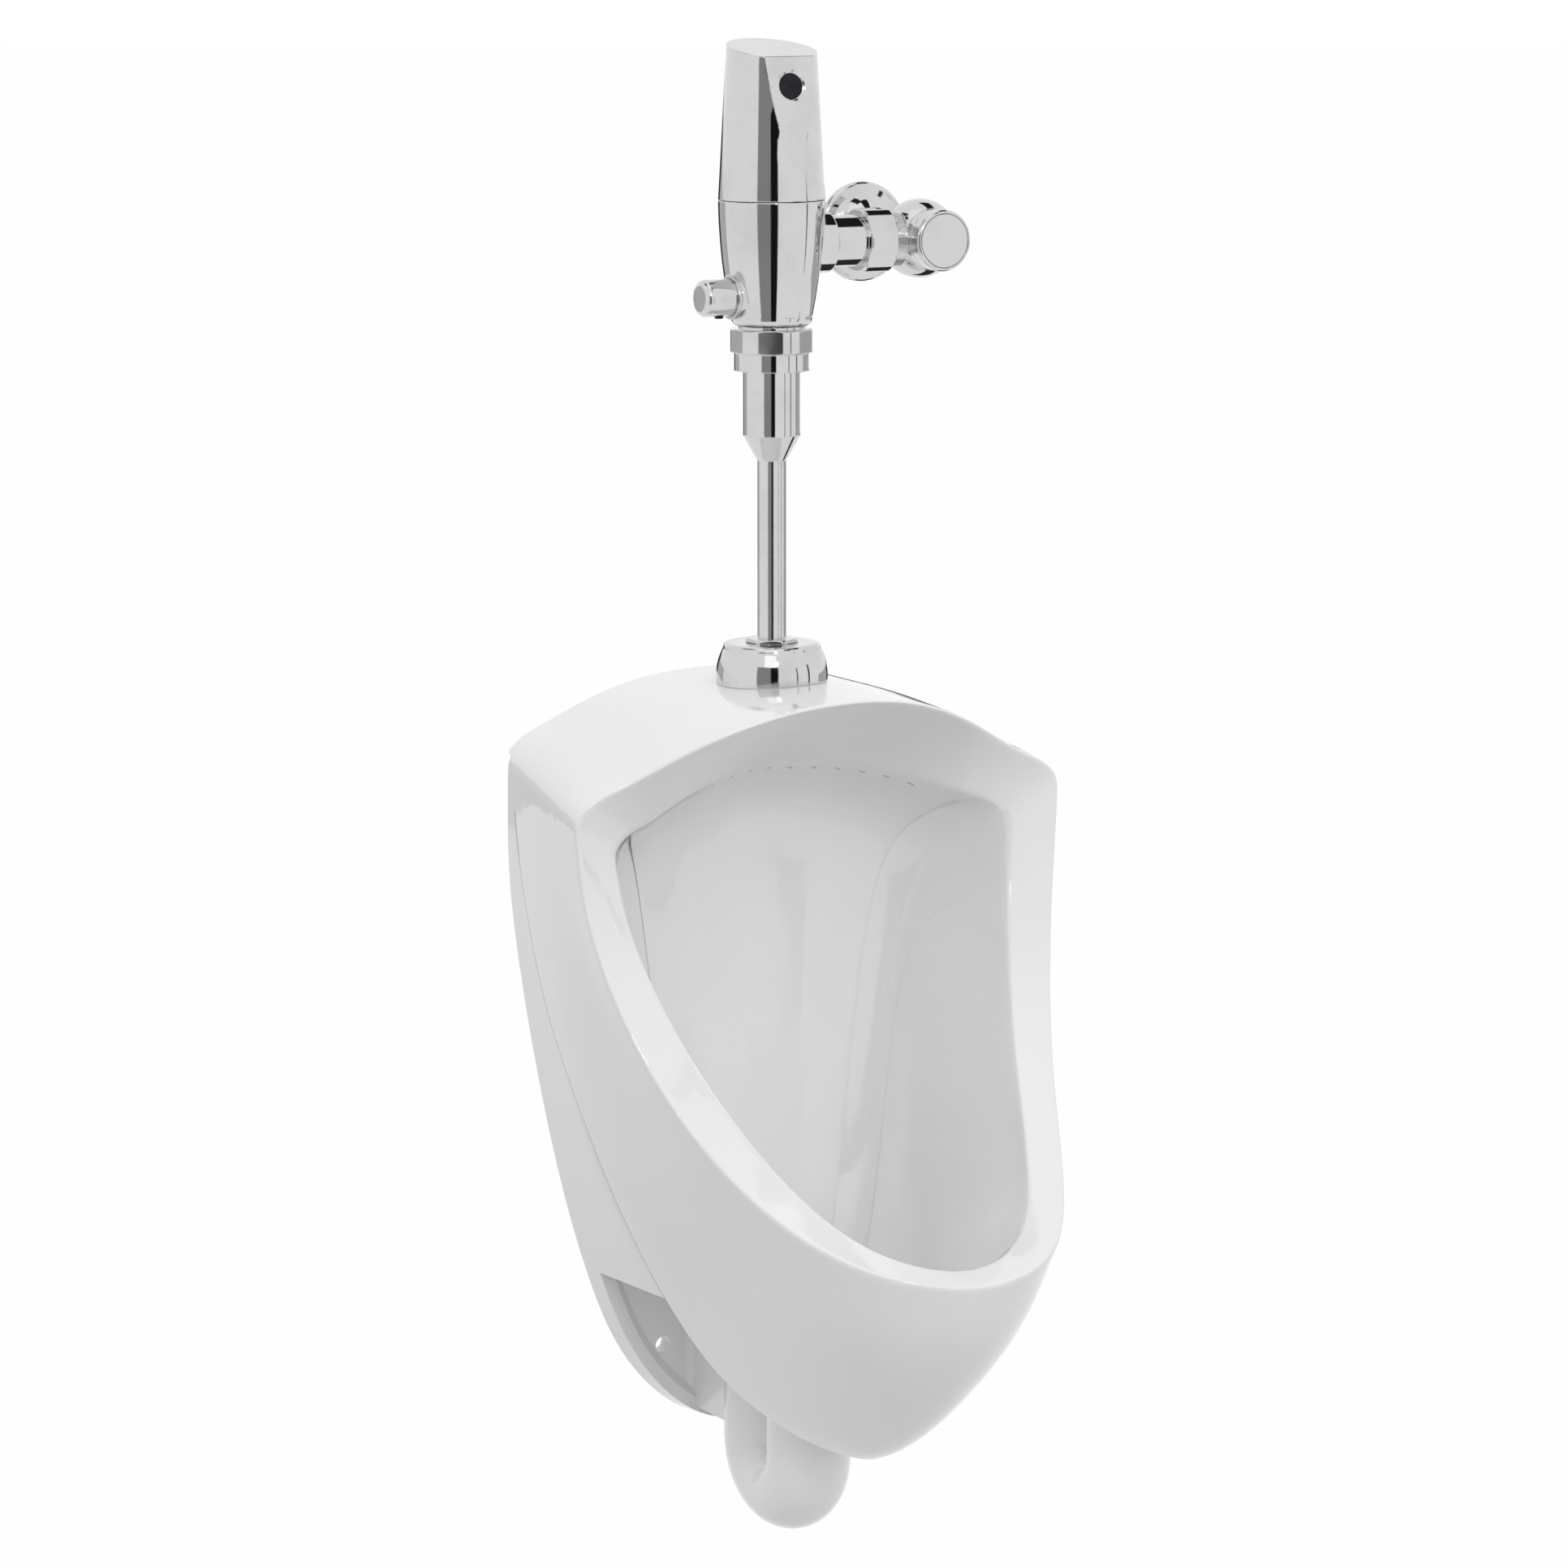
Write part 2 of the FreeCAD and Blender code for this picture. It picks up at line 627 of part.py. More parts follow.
def recess():
    """Open space under the bowl, in front of the wall plate and round the trap's cup.

    Beside the trap it leaves room for a spanner on each of the lower bolts.
    """
    front = -(PLATE_THICK + PLATE_LIP)
    low = -2 * PLATE_FOOT
    space = behind_shell().common(block(-RIM_HALF, RIM_HALF, -LIP_DEPTH, front, low, RECESS_TOP))
    lip = PLATE_LIP_WIDE + PANEL_STEP
    mouth = [V(p.x, front - 1, p.z) for p in inset(wall_loop(), lip)]
    floor = [V(p.x, -PLATE_THICK, p.z) for p in inset(wall_loop(), lip + PLATE_COVE)]
    panel = Part.makeLoft([closed_line(mouth), closed_line(floor)], True, True)
    panel = panel.common(block(-RIM_HALF, RIM_HALF, -LIP_DEPTH, 0, low, RECESS_TOP))
    room = block(-RIM_HALF, RIM_HALF, -SPANNER_DEEP, front, low, RECESS_TOP)
    room = room.cut(block(-SPANNER_IN, SPANNER_IN, -LIP_DEPTH, 0, low, RECESS_TOP))
    return space.fuse(panel).cut(cup(0)).fuse(behind_shell().common(room))


def hollow():
    """Open back of the china, with a lip across the top that hangs on the wall hangers."""
    outline = closed_line([V(p.x, 1, p.z) for p in wall_loop(HOLLOW_WALL, BOWL_SHARE)])
    space = Part.Face(outline).extrude(V(0, -HOLLOW_DEPTH - 1, 0))
    below = block(-RIM_HALF, RIM_HALF, -LIP_DEPTH, 2, -PLATE_FOOT - 50, HOLLOW_FLOOR)
    lip_foot = CHINA_TOP - HANGER_LIP_DROP
    lip = block(-RIM_HALF, RIM_HALF, -HANGER_LIP_DEPTH, 2, lip_foot, CHINA_TOP + 10)
    return space.cut(below).cut(lip)


def wash_depth(x):
    """Depth of the line of wash slots, which runs behind the mouth's upper edge."""
    edge = MOUTH_CROWN_DEPTH + (MOUTH_DEPTH - MOUTH_CROWN_DEPTH) * (abs(x) / MOUTH_HALF) ** 1.2
    return edge - WASH_SLOT_BEHIND


def waterway():
    """Flushing channel under the top, the spud's hole into it and the wash slots out of its wings."""
    top = CHINA_TOP - WATERWAY_TOP
    floor = top - WATERWAY_TALL
    reach = SPUD_GASKET_R + WATERWAY_ROOM
    space = block(-WATERWAY_HALF, WATERWAY_HALF, AXIS_Y - reach, AXIS_Y + reach, floor, top)
    space = space.makeFillet(6, [e for e in space.Edges if abs(e.tangentAt(0).z) > 0.9])
    space = space.fuse(rod(SPUD_HOLE_R, column(-WATERWAY_TOP - 2), column(20)))
    end = WASH_SLOT_PITCH * WASH_SLOTS / 2
    spots = [(x, -wash_depth(x)) for x in (-end, -end / 2, 0, end / 2, end)]
    outline = [V(x, y - WING_WIDE / 2, floor - WING_TALL / 2) for x, y in spots]
    outline += [V(x, y + WING_WIDE / 2, floor - WING_TALL / 2) for x, y in reversed(spots)]
    wings = Part.Face(Part.makePolygon(outline + outline[:1])).extrude(V(0, 0, WING_TALL))
    space = space.fuse(wings)
    for i in range(WASH_SLOTS):
        x = (i - (WASH_SLOTS - 1) / 2) * WASH_SLOT_PITCH
        y = -wash_depth(x)
        space = space.fuse(block(
            x - WASH_SLOT_WIDE / 2, x + WASH_SLOT_WIDE / 2,
            y - WASH_SLOT_THICK / 2, y + WASH_SLOT_THICK / 2,
            floor - HOOD_THICK, floor - WING_TALL / 2 + 1))
    return space


def china_skin():
    """Solid inside the glazed skin: wall line, belly, skirt, ridge, mouth and bowl."""
    wall, belly, skirt, ridge, mouth = wall_loop(), belly_loop(), skirt_loop(), ridge_loop(), mouth_loop()
    brow, back, sump, throat, drain = bowl_loops()
    near = [V(p.x, -PLATE_THICK, p.z) for p in between(wall, belly, 0.12)]
    return skin([
        wall, near, between(wall, belly, 0.6), belly, skirt, between(skirt, ridge, 0.8), ridge,
        between(ridge, mouth, 0.12), between(ridge, mouth, 0.5), between(ridge, mouth, 0.9), mouth,
        between(mouth, brow, 0.25), brow, back, sump, throat, drain])


def china_body(glaze):
    """One casting: the skin cut back behind the shell's edge, with trap, hollow back and waterway."""
    body = glaze.cut(behind_shell().cut(side_panels()))
    body = body.cut(recess())
    body = body.fuse(trap_bend(TRAP_R, (CUP_FOOT + DRAIN_Z) / 2).fuse([trap_web(), trap_back()]))
    body = body.cut(trap_bore())
    body = body.cut(rod(OUTLET_SEAT_R, (0, -OUTLET_SEAT_DEEP, 0), (0, 1, 0)))
    for side in (-1, 1):
        x = side * BOLT_SPACING / 2
        body = body.cut(rod(BOLT_HOLE_R, (x, -2 * PLATE_THICK, 0), (x, 1, 0)))
    body = body.cut(hollow())
    return body.cut(waterway())


# Pieces on the china.

def drain_strainer():
    top = DRAIN_Z + STRAINER_THICK
    disc = rod(DRAIN_R - STRAINER_FIT, (0, -DRAIN_DEPTH, DRAIN_Z), (0, -DRAIN_DEPTH, top))
    for ring in range(STRAINER_RINGS + 1):
        count = max(1, 6 * ring)
        radius = ring * STRAINER_RING_PITCH
        for i in range(count):
            turn = 2 * math.pi * i / count
            x = radius * math.cos(turn)
            y = radius * math.sin(turn) - DRAIN_DEPTH
            disc = disc.cut(rod(STRAINER_HOLE_R, (x, y, DRAIN_Z - 1), (x, y, top + 1)))
    return disc


def outlet_gasket():
    return pipe(OUTLET_SEAT_R - SEAT_FIT, OUTLET_GASKET_BORE, (0, -OUTLET_SEAT_DEEP, 0), (0, 0, 0))


def wall_hanger(side):
    """Bent steel strip on the wall, whose hook stands up behind the china's lip."""
    x0 = side * HANGER_X - HANGER_WIDE / 2
    x1 = x0 + HANGER_WIDE
    seat = CHINA_TOP - HANGER_LIP_DROP
    hook = -HANGER_LIP_DEPTH - SEAT_FIT
    strip = block(x0, x1, -HANGER_STEEL, 0, seat - HANGER_TALL, seat)
    strip = strip.fuse(block(x0, x1, hook - HANGER_STEEL, 0, seat - HANGER_STEEL, seat))
    strip = strip.fuse(block(x0, x1, hook - HANGER_STEEL, hook, seat - HANGER_STEEL, seat + HANGER_HOOK))
    for end in (-1, 1):
        x = side * HANGER_X + end * HANGER_SCREW_SPACING / 2
        z = seat - HANGER_TALL * 0.6
        strip = strip.cut(rod(HANGER_SCREW_R, (x, -HANGER_STEEL - 1, z), (x, 1, z)))
    return strip.removeSplitter()


# Flush connection.

def spud():
    foot = -WATERWAY_TOP - SPUD_GASKET_TALL - SPUD_FLARE_THICK
    body = rod(SPUD_R, column(foot), column(SPUD_RISE))
    body = body.fuse(rod(SPUD_FLARE_R, column(foot), column(foot + SPUD_FLARE_THICK)))
    body = body.cut(rod(SPUD_BORE, column(foot - 1), column(SPUD_RISE + 1)))
    return body.cut(rod(TUBE_R + THREAD_FIT, column(TUBE_FOOT), column(SPUD_RISE + 1)))


def spud_gasket():
    under = -WATERWAY_TOP
    ring = rod(SPUD_GASKET_R, column(under - SPUD_GASKET_TALL), column(under))
    ring = ring.fuse(rod(SPUD_HOLE_R - SEAT_FIT, column(under), column(under + SPUD_GASKET_NOSE)))
    return ring.cut(rod(SPUD_R + THREAD_FIT, column(under - SPUD_GASKET_TALL - 1), column(0)))


def spud_washer():
    return pipe(SPUD_WASHER_R, SPUD_R + THREAD_FIT, column(SEAT_FIT), column(SEAT_FIT + SPUD_WASHER_THICK))


def spud_locknut():
    foot = SEAT_FIT + SPUD_WASHER_THICK
    nut = hexagon(LOCKNUT_FLATS, LOCKNUT_R, column(foot), column(foot + LOCKNUT_TALL))
    return nut.cut(rod(SPUD_R + THREAD_FIT, column(foot - 1), column(foot + LOCKNUT_TALL + 1)))


def slip_gasket():
    top = SPUD_RISE + SLIP_GASKET_TALL
    return pipe(SPUD_R - THREAD_FIT, TUBE_R + THREAD_FIT, column(SPUD_RISE), column(top))


def spud_coupling_nut():
    nut = hexagon(COUPLING_FLATS, COUPLING_R, column(COUPLING_FOOT), column(COUPLING_TOP))
    nut = nut.cut(rod(SPUD_R + THREAD_FIT, column(COUPLING_FOOT - 1), column(SPUD_RISE + SLIP_GASKET_TALL)))
    return nut.cut(rod(TUBE_R + THREAD_FIT, column(COUPLING_FOOT), column(COUPLING_TOP + 1)))


def flange_form(step):
    """Solid inside the spud flange's outer face moved in by a step."""
    side = FLANGE_R - step
    edge = FLANGE_TOP_R - step
    top = FLANGE_TALL - step
    curve = FLANGE_ROUND - step / 2
    dip = curve * (1 - math.sqrt(0.5))
    return turned(
        [(0, -FLANGE_SKIRT), (side, -FLANGE_SKIRT), (side, 0),
         ((side - 1.2, top * 0.5), (edge, top - curve)),
         ((edge - dip, top - dip), (edge - curve, top)), (0, top)], column(0))


def spud_flange(glaze):
    """Chrome cup over the spud, with its foot shaped to the china's arched top."""
    cup = flange_form(0).cut(flange_form(FLANGE_WALL))
    cup = cup.cut(rod(COUPLING_R + SEAT_FIT, column(0), column(FLANGE_TALL + 1)))
    reach = 2 * FLANGE_R
    near = block(-reach, reach, AXIS_Y - reach, AXIS_Y + reach, CHINA_TOP - reach, CHINA_TOP + reach)
    return cup.cut(glaze.common(near))


def flush_tube():
    """Thin tube that widens into the vacuum breaker's chamber and ends in a flat lip."""
    lip = TUBE_LIP
    thin = TUBE_R - TUBE_WALL
    wide = BREAKER_R - TUBE_WALL
    return turned(
        [(thin, TUBE_FOOT), (TUBE_R, TUBE_FOOT), (TUBE_R, TAPER_FOOT), (BREAKER_R, TAPER_TOP),
         (BREAKER_R, lip), (TUBE_LIP_R, lip), (TUBE_LIP_R, lip + TUBE_LIP_THICK),
         (wide, lip + TUBE_LIP_THICK), (wide, TAPER_TOP), (thin, TAPER_FOOT)], column(0))


def cage_top():
    return TUBE_LIP + 2 * TUBE_LIP_THICK


def breaker_cage():
    """Windowed cage that hangs in the wide tube from a rim on the tube's lip."""
    top = cage_top()
    outer = BREAKER_R - TUBE_WALL - SEAT_FIT
    cage = rod(TUBE_LIP_R, column(top - TUBE_LIP_THICK), column(top))
    cage = cage.fuse(rod(outer, column(top - BREAKER_CAGE_TALL), column(top)))
    cage = cage.cut(rod(outer - BREAKER_CAGE_WALL, column(0), column(top + 1)))
    window = BREAKER_CAGE_TALL / 4
    low = CHINA_TOP + top - BREAKER_CAGE_TALL + window
    for turn in (0, 90):
        slot = block(-BREAKER_R, BREAKER_R, -window / 2, window / 2, low, low + window * 1.5)
        slot.rotate(V(0, 0, 0), V(0, 0, 1), turn)
        slot.translate(V(0, AXIS_Y, 0))
        cage = cage.cut(slot)
    return cage


def breaker_sleeve_top():
    return cage_top() + BREAKER_SLEEVE_WALL


def breaker_sleeve():
    """Rubber sleeve inside the cage, clamped by its rim under the valve's outlet."""
    top = breaker_sleeve_top()
    outer = BREAKER_R - TUBE_WALL - BREAKER_CAGE_WALL - 2 * SEAT_FIT
    sleeve = rod(TUBE_LIP_R, column(top - BREAKER_SLEEVE_WALL), column(top))
    sleeve = sleeve.fuse(rod(outer, column(top - BREAKER_SLEEVE_TALL), column(top)))
    return sleeve.cut(rod(outer - BREAKER_SLEEVE_WALL, column(0), column(top + 1)))


def outlet_nut():
    """Nut with a round collar below, which draws the tube's lip up to the valve."""
    shoulder = OUTLET_NUT_FOOT + OUTLET_COLLAR_TALL
    nut = hexagon(OUTLET_NUT_FLATS, OUTLET_NUT_R, column(shoulder), column(OUTLET_NUT_TOP))
    nut = nut.fuse(rod(OUTLET_COLLAR_R, column(OUTLET_NUT_FOOT), column(shoulder)))
    nut = nut.cut(rod(BREAKER_R + THREAD_FIT, column(0), column(OUTLET_NUT_TOP + 1)))
    return nut.cut(rod(OUTLET_THREAD_R + THREAD_FIT, column(TUBE_LIP), column(OUTLET_NUT_TOP + 1)))


# Flush valve.

def valve_body():
    """Cast barrel with a flat strip down its front, the supply boss and the button's socket."""
    end = breaker_sleeve_top()
    barrel = turned(
        [(0, end), (OUTLET_THREAD_R, end), (OUTLET_THREAD_R, BODY_FOOT), (BODY_FOOT_R, BODY_FOOT),
         ((BODY_HIP_R - 0.6, BODY_FOOT + 3), (BODY_HIP_R, BODY_HIP)),
         ((BODY_WAIST_R, BODY_WAIST), (SPLIT_R, SPLIT_RISE)), (0, SPLIT_RISE)], column(0))
    front = [V(-SPLIT_R, AXIS_Y - radius + STRIP_CUT, CHINA_TOP + rise) for radius, rise in (
        (BODY_HIP_R, BODY_HIP), (BODY_WAIST_R, BODY_WAIST), (SPLIT_R, SPLIT_RISE))]
    clear = [V(p.x, AXIS_Y - 2 * SPLIT_R, p.z) for p in (front[2], front[0])]
    outline = [Part.Arc(*front).toShape()] + Part.makePolygon([front[2]] + clear + [front[0]]).Edges
    barrel = barrel.cut(Part.Face(Part.Wire(outline)).extrude(V(2 * SPLIT_R, 0, 0)))
    button_z = CHINA_TOP + BUTTON_RISE
    barrel = barrel.fuse([
        rod(INLET_BOSS_R, on_supply(0), on_supply(INLET_BOSS_X)),
        rod(COLLAR_R, (0, AXIS_Y, button_z), (-BUTTON_SOCKET_X, AXIS_Y, button_z))])
    ledge = SPLIT_RISE - COVER_LEDGE_DEEP
    socket = BUTTON_FLANGE_R + SEAT_FIT
    stem = BUTTON_STEM_R + SEAT_FIT
    seal = TAILPIECE_END_X + TAILPIECE_SEAL_X
    return barrel.cut([
        rod(OUTLET_BORE, column(end - 1), column(CHAMBER_FLOOR + 1)),
        rod(CHAMBER_R, column(CHAMBER_FLOOR), column(SPLIT_RISE)),
        rod(COVER_LEDGE_R, column(ledge), column(SPLIT_RISE + 1)),
        rod(INLET_BORE, on_supply(0), on_supply(INLET_BOSS_X)),
        rod(TAILPIECE_R + THREAD_FIT, on_supply(TAILPIECE_END_X), on_supply(INLET_BOSS_X + 1)),
        rod(TAILPIECE_R + TAILPIECE_SEAL, on_supply(seal), on_supply(seal + 2 * TAILPIECE_SEAL)),
        rod(socket, (-BUTTON_FLOOR_X, AXIS_Y, button_z), (-BUTTON_SOCKET_X - 1, AXIS_Y, button_z)),
        rod(COLLAR_R + THREAD_FIT, (-BUTTON_SOCKET_X, AXIS_Y, button_z), (-2 * SPLIT_R, AXIS_Y, button_z)),
        rod(stem, (0, AXIS_Y, button_z), (-BUTTON_SOCKET_X, AXIS_Y, button_z))])


def valve_seat():
    return pipe(SEAT_R, OUTLET_BORE, column(CHAMBER_FLOOR), column(CHAMBER_FLOOR + SEAT_TALL))


def piston_seal():
    foot = CHAMBER_FLOOR + SEAT_TALL
    return pipe(SEAT_R, PISTON_SEAL_BORE, column(foot), column(foot + PISTON_SEAL_TALL))


def piston():
    """Disc over the seat, a stem, and the wide head that fits the chamber."""
    foot = CHAMBER_FLOOR + SEAT_TALL + PISTON_SEAL_TALL
    top = CHAMBER_FLOOR + SEAT_TALL + PISTON_TALL
    disc = foot + PISTON_DISC_TALL
    head = top - PISTON_HEAD_TALL
    head_r = CHAMBER_R - SEAT_FIT
    return turned(
        [(0, foot), (SEAT_R, foot), (SEAT_R, disc), (PISTON_STEM_R, disc), (PISTON_STEM_R, head),
         (head_r, head), (head_r, top), (0, top)], column(0))


def inner_cover_top():
    return SPLIT_RISE - COVER_LEDGE_DEEP + INNER_COVER_TALL


def inner_cover():
    top = inner_cover_top()
    disc = rod(COVER_LEDGE_R - SEAT_FIT, column(top - INNER_COVER_TALL), column(top))
    return disc.cut(rod(PILOT_R, solenoid_spot(top - INNER_COVER_TALL - 1), solenoid_spot(top + 1)))


def solenoid_spot(rise):
    return (0, AXIS_Y - SOLENOID_FRONT, CHINA_TOP + rise)


def solenoid():
    foot = inner_cover_top()
    coil = rod(SOLENOID_R, solenoid_spot(foot), solenoid_spot(foot + SOLENOID_TALL))
    room = PLUNGER_TALL + PLUNGER_TRAVEL + SEAT_FIT
    return coil.cut(rod(PLUNGER_R + PLUNGER_FIT, solenoid_spot(foot - 1), solenoid_spot(foot + room)))


def solenoid_plunger():
    foot = inner_cover_top()
    return rod(PLUNGER_R, solenoid_spot(foot), solenoid_spot(foot + PLUNGER_TALL))


# Sensor cover and what stands in it.

def beyond(point, normal):
    """Large block on the far side of a plane."""
    size = 8 * SPLIT_R
    mass = Part.makeBox(size, size, size, V(-size / 2, -size / 2, 0))
    mass.Placement = FreeCAD.Placement(V(*point), FreeCAD.Rotation(V(0, 0, 1), normal))
    return mass


def facet_normal():
    lean = math.atan2(FACET_FOOT_R - FACET_TOP_R, FACET_TOP - FACET_FOOT)
    return V(0, -math.cos(lean), math.sin(lean))


def facet_point(rise):
    share = (rise - FACET_FOOT) / (FACET_TOP - FACET_FOOT)
    radius = FACET_FOOT_R + (FACET_TOP_R - FACET_FOOT_R) * share
    return V(0, AXIS_Y - radius, CHINA_TOP + rise)


def cover_form(step, foot):
    """Solid inside the cover's outer faces moved in by a step."""
    taper = (SPLIT_R - COVER_TOP_R) / (COVER_RISE - SPLIT_RISE)
    top = COVER_RISE + SPLIT_R
    wide = SPLIT_R - taper * (foot - SPLIT_RISE) - step
    narrow = SPLIT_R - taper * (top - SPLIT_RISE) - step
    form = Part.makeCone(wide, narrow, top - foot, V(*column(foot)))
    slope = math.radians(COVER_SLOPE)
    slant = V(0, -math.sin(slope), math.cos(slope))
    form = form.cut(beyond(V(*column(COVER_RISE)) - slant * step, slant))
    form = form.cut(beyond(facet_point(FACET_TOP) - facet_normal() * step, facet_normal()))
    lean = math.atan(taper)
    flat = V(0, -math.cos(lean), math.sin(lean))
    strip = V(0, AXIS_Y - SPLIT_R + STRIP_CUT, CHINA_TOP + SPLIT_RISE)
    return form.cut(beyond(strip - flat * step, flat))


def sensor_cover():
    foot = SPLIT_RISE + COVER_GASKET_TALL
    shell = cover_form(0, foot).cut(cover_form(COVER_WALL, foot - 1))
    centre = facet_point(LENS_RISE)
    inward = facet_normal() * -1
    hole = Part.makeCylinder(LENS_R, 3 * COVER_WALL, centre - inward * COVER_WALL, inward)
    bevel = Part.makeCone(LENS_R + LENS_BEVEL, LENS_R, LENS_SUNK, centre, inward)
    return shell.cut([hole, bevel])


def sensor_lens():
    inward = facet_normal() * -1
    start = facet_point(LENS_RISE) + inward * LENS_SUNK
    return Part.makeCylinder(LENS_R - THREAD_FIT, COVER_WALL - LENS_SUNK, start, inward)


def cover_gasket():
    bore = COVER_LEDGE_R + SEAT_FIT
    top = SPLIT_RISE + COVER_GASKET_TALL
    return pipe(SPLIT_R - COVER_GASKET_INSET, bore, column(SPLIT_RISE), column(top))


def electronics_plate():
    """Upright plastic plate on the inner cover, which carries the battery and the sensor."""
    half = BATTERY_WIDE / 2
    back = AXIS_Y + CARRIER_BACK
    foot = CHINA_TOP + inner_cover_top()
    return block(-half, half, back - CARRIER_THICK, back, foot, CHINA_TOP + CARRIER_TOP)


def battery_pack():
    half = BATTERY_WIDE / 2
    back = AXIS_Y + CARRIER_BACK
    top = CHINA_TOP + CARRIER_TOP
    return block(-half, half, back, back + BATTERY_THICK, top - BATTERY_TALL, top)


def sensor_module():
    half = MODULE_WIDE / 2
    back = AXIS_Y + CARRIER_BACK - CARRIER_THICK
    middle = CHINA_TOP + LENS_RISE
    box = block(-half, half, AXIS_Y - SPLIT_R, back, middle - MODULE_TALL / 2, middle + MODULE_TALL / 2)
    return box.cut(beyond(facet_point(LENS_RISE) - facet_normal() * MODULE_BEHIND, facet_normal()))


# Override button.

def on_button(x):
    return (-x, AXIS_Y, CHINA_TOP + BUTTON_RISE)


def override_button():
    """Hollow button with a stem through the valve's wall and a flange that the collar keeps in."""
    flange = BUTTON_SOCKET_X - SEAT_FIT
    foot = flange - BUTTON_FLANGE_THICK
    body = rod(BUTTON_R, on_button(foot), on_button(BUTTON_END_X))
    rim = [edge for edge in body.Edges if edge.BoundBox.XMax < -BUTTON_END_X + 0.01]
    body = body.makeFillet(BUTTON_ROUND, rim)
    body = body.fuse(rod(BUTTON_FLANGE_R, on_button(foot), on_button(flange)))
    body = body.cut(rod(BUTTON_HOLLOW_R, on_button(0), on_button(BUTTON_HOLLOW_X)))
    stem = rod(BUTTON_STEM_R, on_button(BUTTON_STEM_X), on_button(BUTTON_HOLLOW_X))
    return body.fuse(stem).removeSplitter()


def button_spring():
    return pipe(SPRING_R, SPRING_R - SPRING_WALL, on_button(BUTTON_FLOOR_X), on_button(BUTTON_HOLLOW_X))


def button_collar():
    return pipe(COLLAR_R, BUTTON_R + SEAT_FIT, on_button(BUTTON_SOCKET_X),
                on_button(BUTTON_SOCKET_X + COLLAR_WIDE))


# Supply run.

def supply_tailpiece():
    end = TAILPIECE_LIP_X + TAILPIECE_LIP
    body = rod(TAILPIECE_R, on_supply(TAILPIECE_END_X), on_supply(end))
    body = body.fuse(rod(STOP_NECK_R, on_supply(TAILPIECE_LIP_X), on_supply(end)))
    return body.cut(rod(TAILPIECE_BORE, on_supply(0), on_supply(end + 1)))


def tailpiece_seal():
    start = TAILPIECE_END_X + TAILPIECE_SEAL_X
    end = start + 2 * TAILPIECE_SEAL
    return pipe(TAILPIECE_R + TAILPIECE_SEAL, TAILPIECE_R, on_supply(start), on_supply(end))


def stop_nut():
    start = TAILPIECE_LIP_X - STOP_NUT_LIP
    nut = hexagon(STOP_NUT_FLATS, STOP_NUT_R, on_supply(start), on_supply(STOP_NUT_END_X))
    nut = nut.cut(rod(TAILPIECE_R + THREAD_FIT, on_supply(0), on_supply(STOP_NUT_END_X + 1)))
    return nut.cut(rod(STOP_NECK_R + THREAD_FIT, on_supply(TAILPIECE_LIP_X), on_supply(STOP_NUT_END_X + 1)))


def stop_body():
    """Round stop with its neck to the valve, its inlet from the wall and an open front."""
    neck_x = TAILPIECE_LIP_X + TAILPIECE_LIP
    front = on_stop(AXIS_DEPTH + 2 * STOP_BALL_R)
    body = Part.makeSphere(STOP_BALL_R, V(*on_stop(AXIS_DEPTH)))
    body = body.fuse([
        rod(STOP_NECK_R, on_supply(neck_x), on_supply(STOP_X)),
        rod(STOP_BARREL_R, on_stop(AXIS_DEPTH), on_stop(STOP_BARREL_DEPTH)),
        rod(STOP_INLET_R, on_stop(AXIS_DEPTH), on_stop(STOP_INLET_DEPTH))])
    return body.cut([
        rod(STOP_NECK_BORE, on_supply(neck_x - 1), on_supply(STOP_X)),
        rod(STOP_CHAMBER_R, on_stop(STOP_SEAT_DEPTH), front),
        rod(BONNET_R + THREAD_FIT, on_stop(BONNET_FOOT_DEPTH), front),
        rod(STOP_SEAT_BORE, on_stop(STOP_INLET_DEPTH), on_stop(AXIS_DEPTH)),
        rod(STOP_INLET_BORE, on_stop(STOP_INLET_DEPTH - 1), on_stop(STOP_INLET_DEPTH + ADAPTER_GRIP))])


def stop_bonnet():
    bonnet = rod(BONNET_R, on_stop(BONNET_FOOT_DEPTH), on_stop(BONNET_HEAD_DEPTH))
    bonnet = bonnet.fuse(rod(BONNET_HEAD_R, on_stop(STOP_BARREL_DEPTH), on_stop(BONNET_HEAD_DEPTH)))
    return bonnet.cut(rod(SPINDLE_R + SPINDLE_FIT, on_stop(0), on_stop(BONNET_HEAD_DEPTH + 1)))


def stop_spindle():
    """Screw that turns in the bonnet, held by its collar, with a driver slot in its head."""
    end = on_stop(SPINDLE_HEAD_DEPTH)
    body = rod(SPINDLE_R, on_stop(SPINDLE_END_DEPTH), end)
    collar = BONNET_FOOT_DEPTH - SEAT_FIT
    body = body.fuse(rod(SPINDLE_COLLAR_R, on_stop(collar - SPINDLE_COLLAR), on_stop(collar)))
    return body.cut(block(end[0] - SPINDLE_R, end[0] + SPINDLE_R, end[1], end[1] + SPINDLE_SLOT,
                          end[2] - SPINDLE_SLOT / 2, end[2] + SPINDLE_SLOT / 2))


def stop_plug():
    plug = rod(STOP_PLUG_R, on_stop(STOP_PLUG_BACK), on_stop(STOP_PLUG_FRONT))
    bore = SPINDLE_R + SPINDLE_FIT
    return plug.cut(rod(bore, on_stop(SPINDLE_END_DEPTH - 1), on_stop(STOP_PLUG_FRONT + 1)))


def stop_seal():
    return rod(STOP_PLUG_R, on_stop(STOP_PLUG_BACK - STOP_SEAL_THICK), on_stop(STOP_PLUG_BACK))


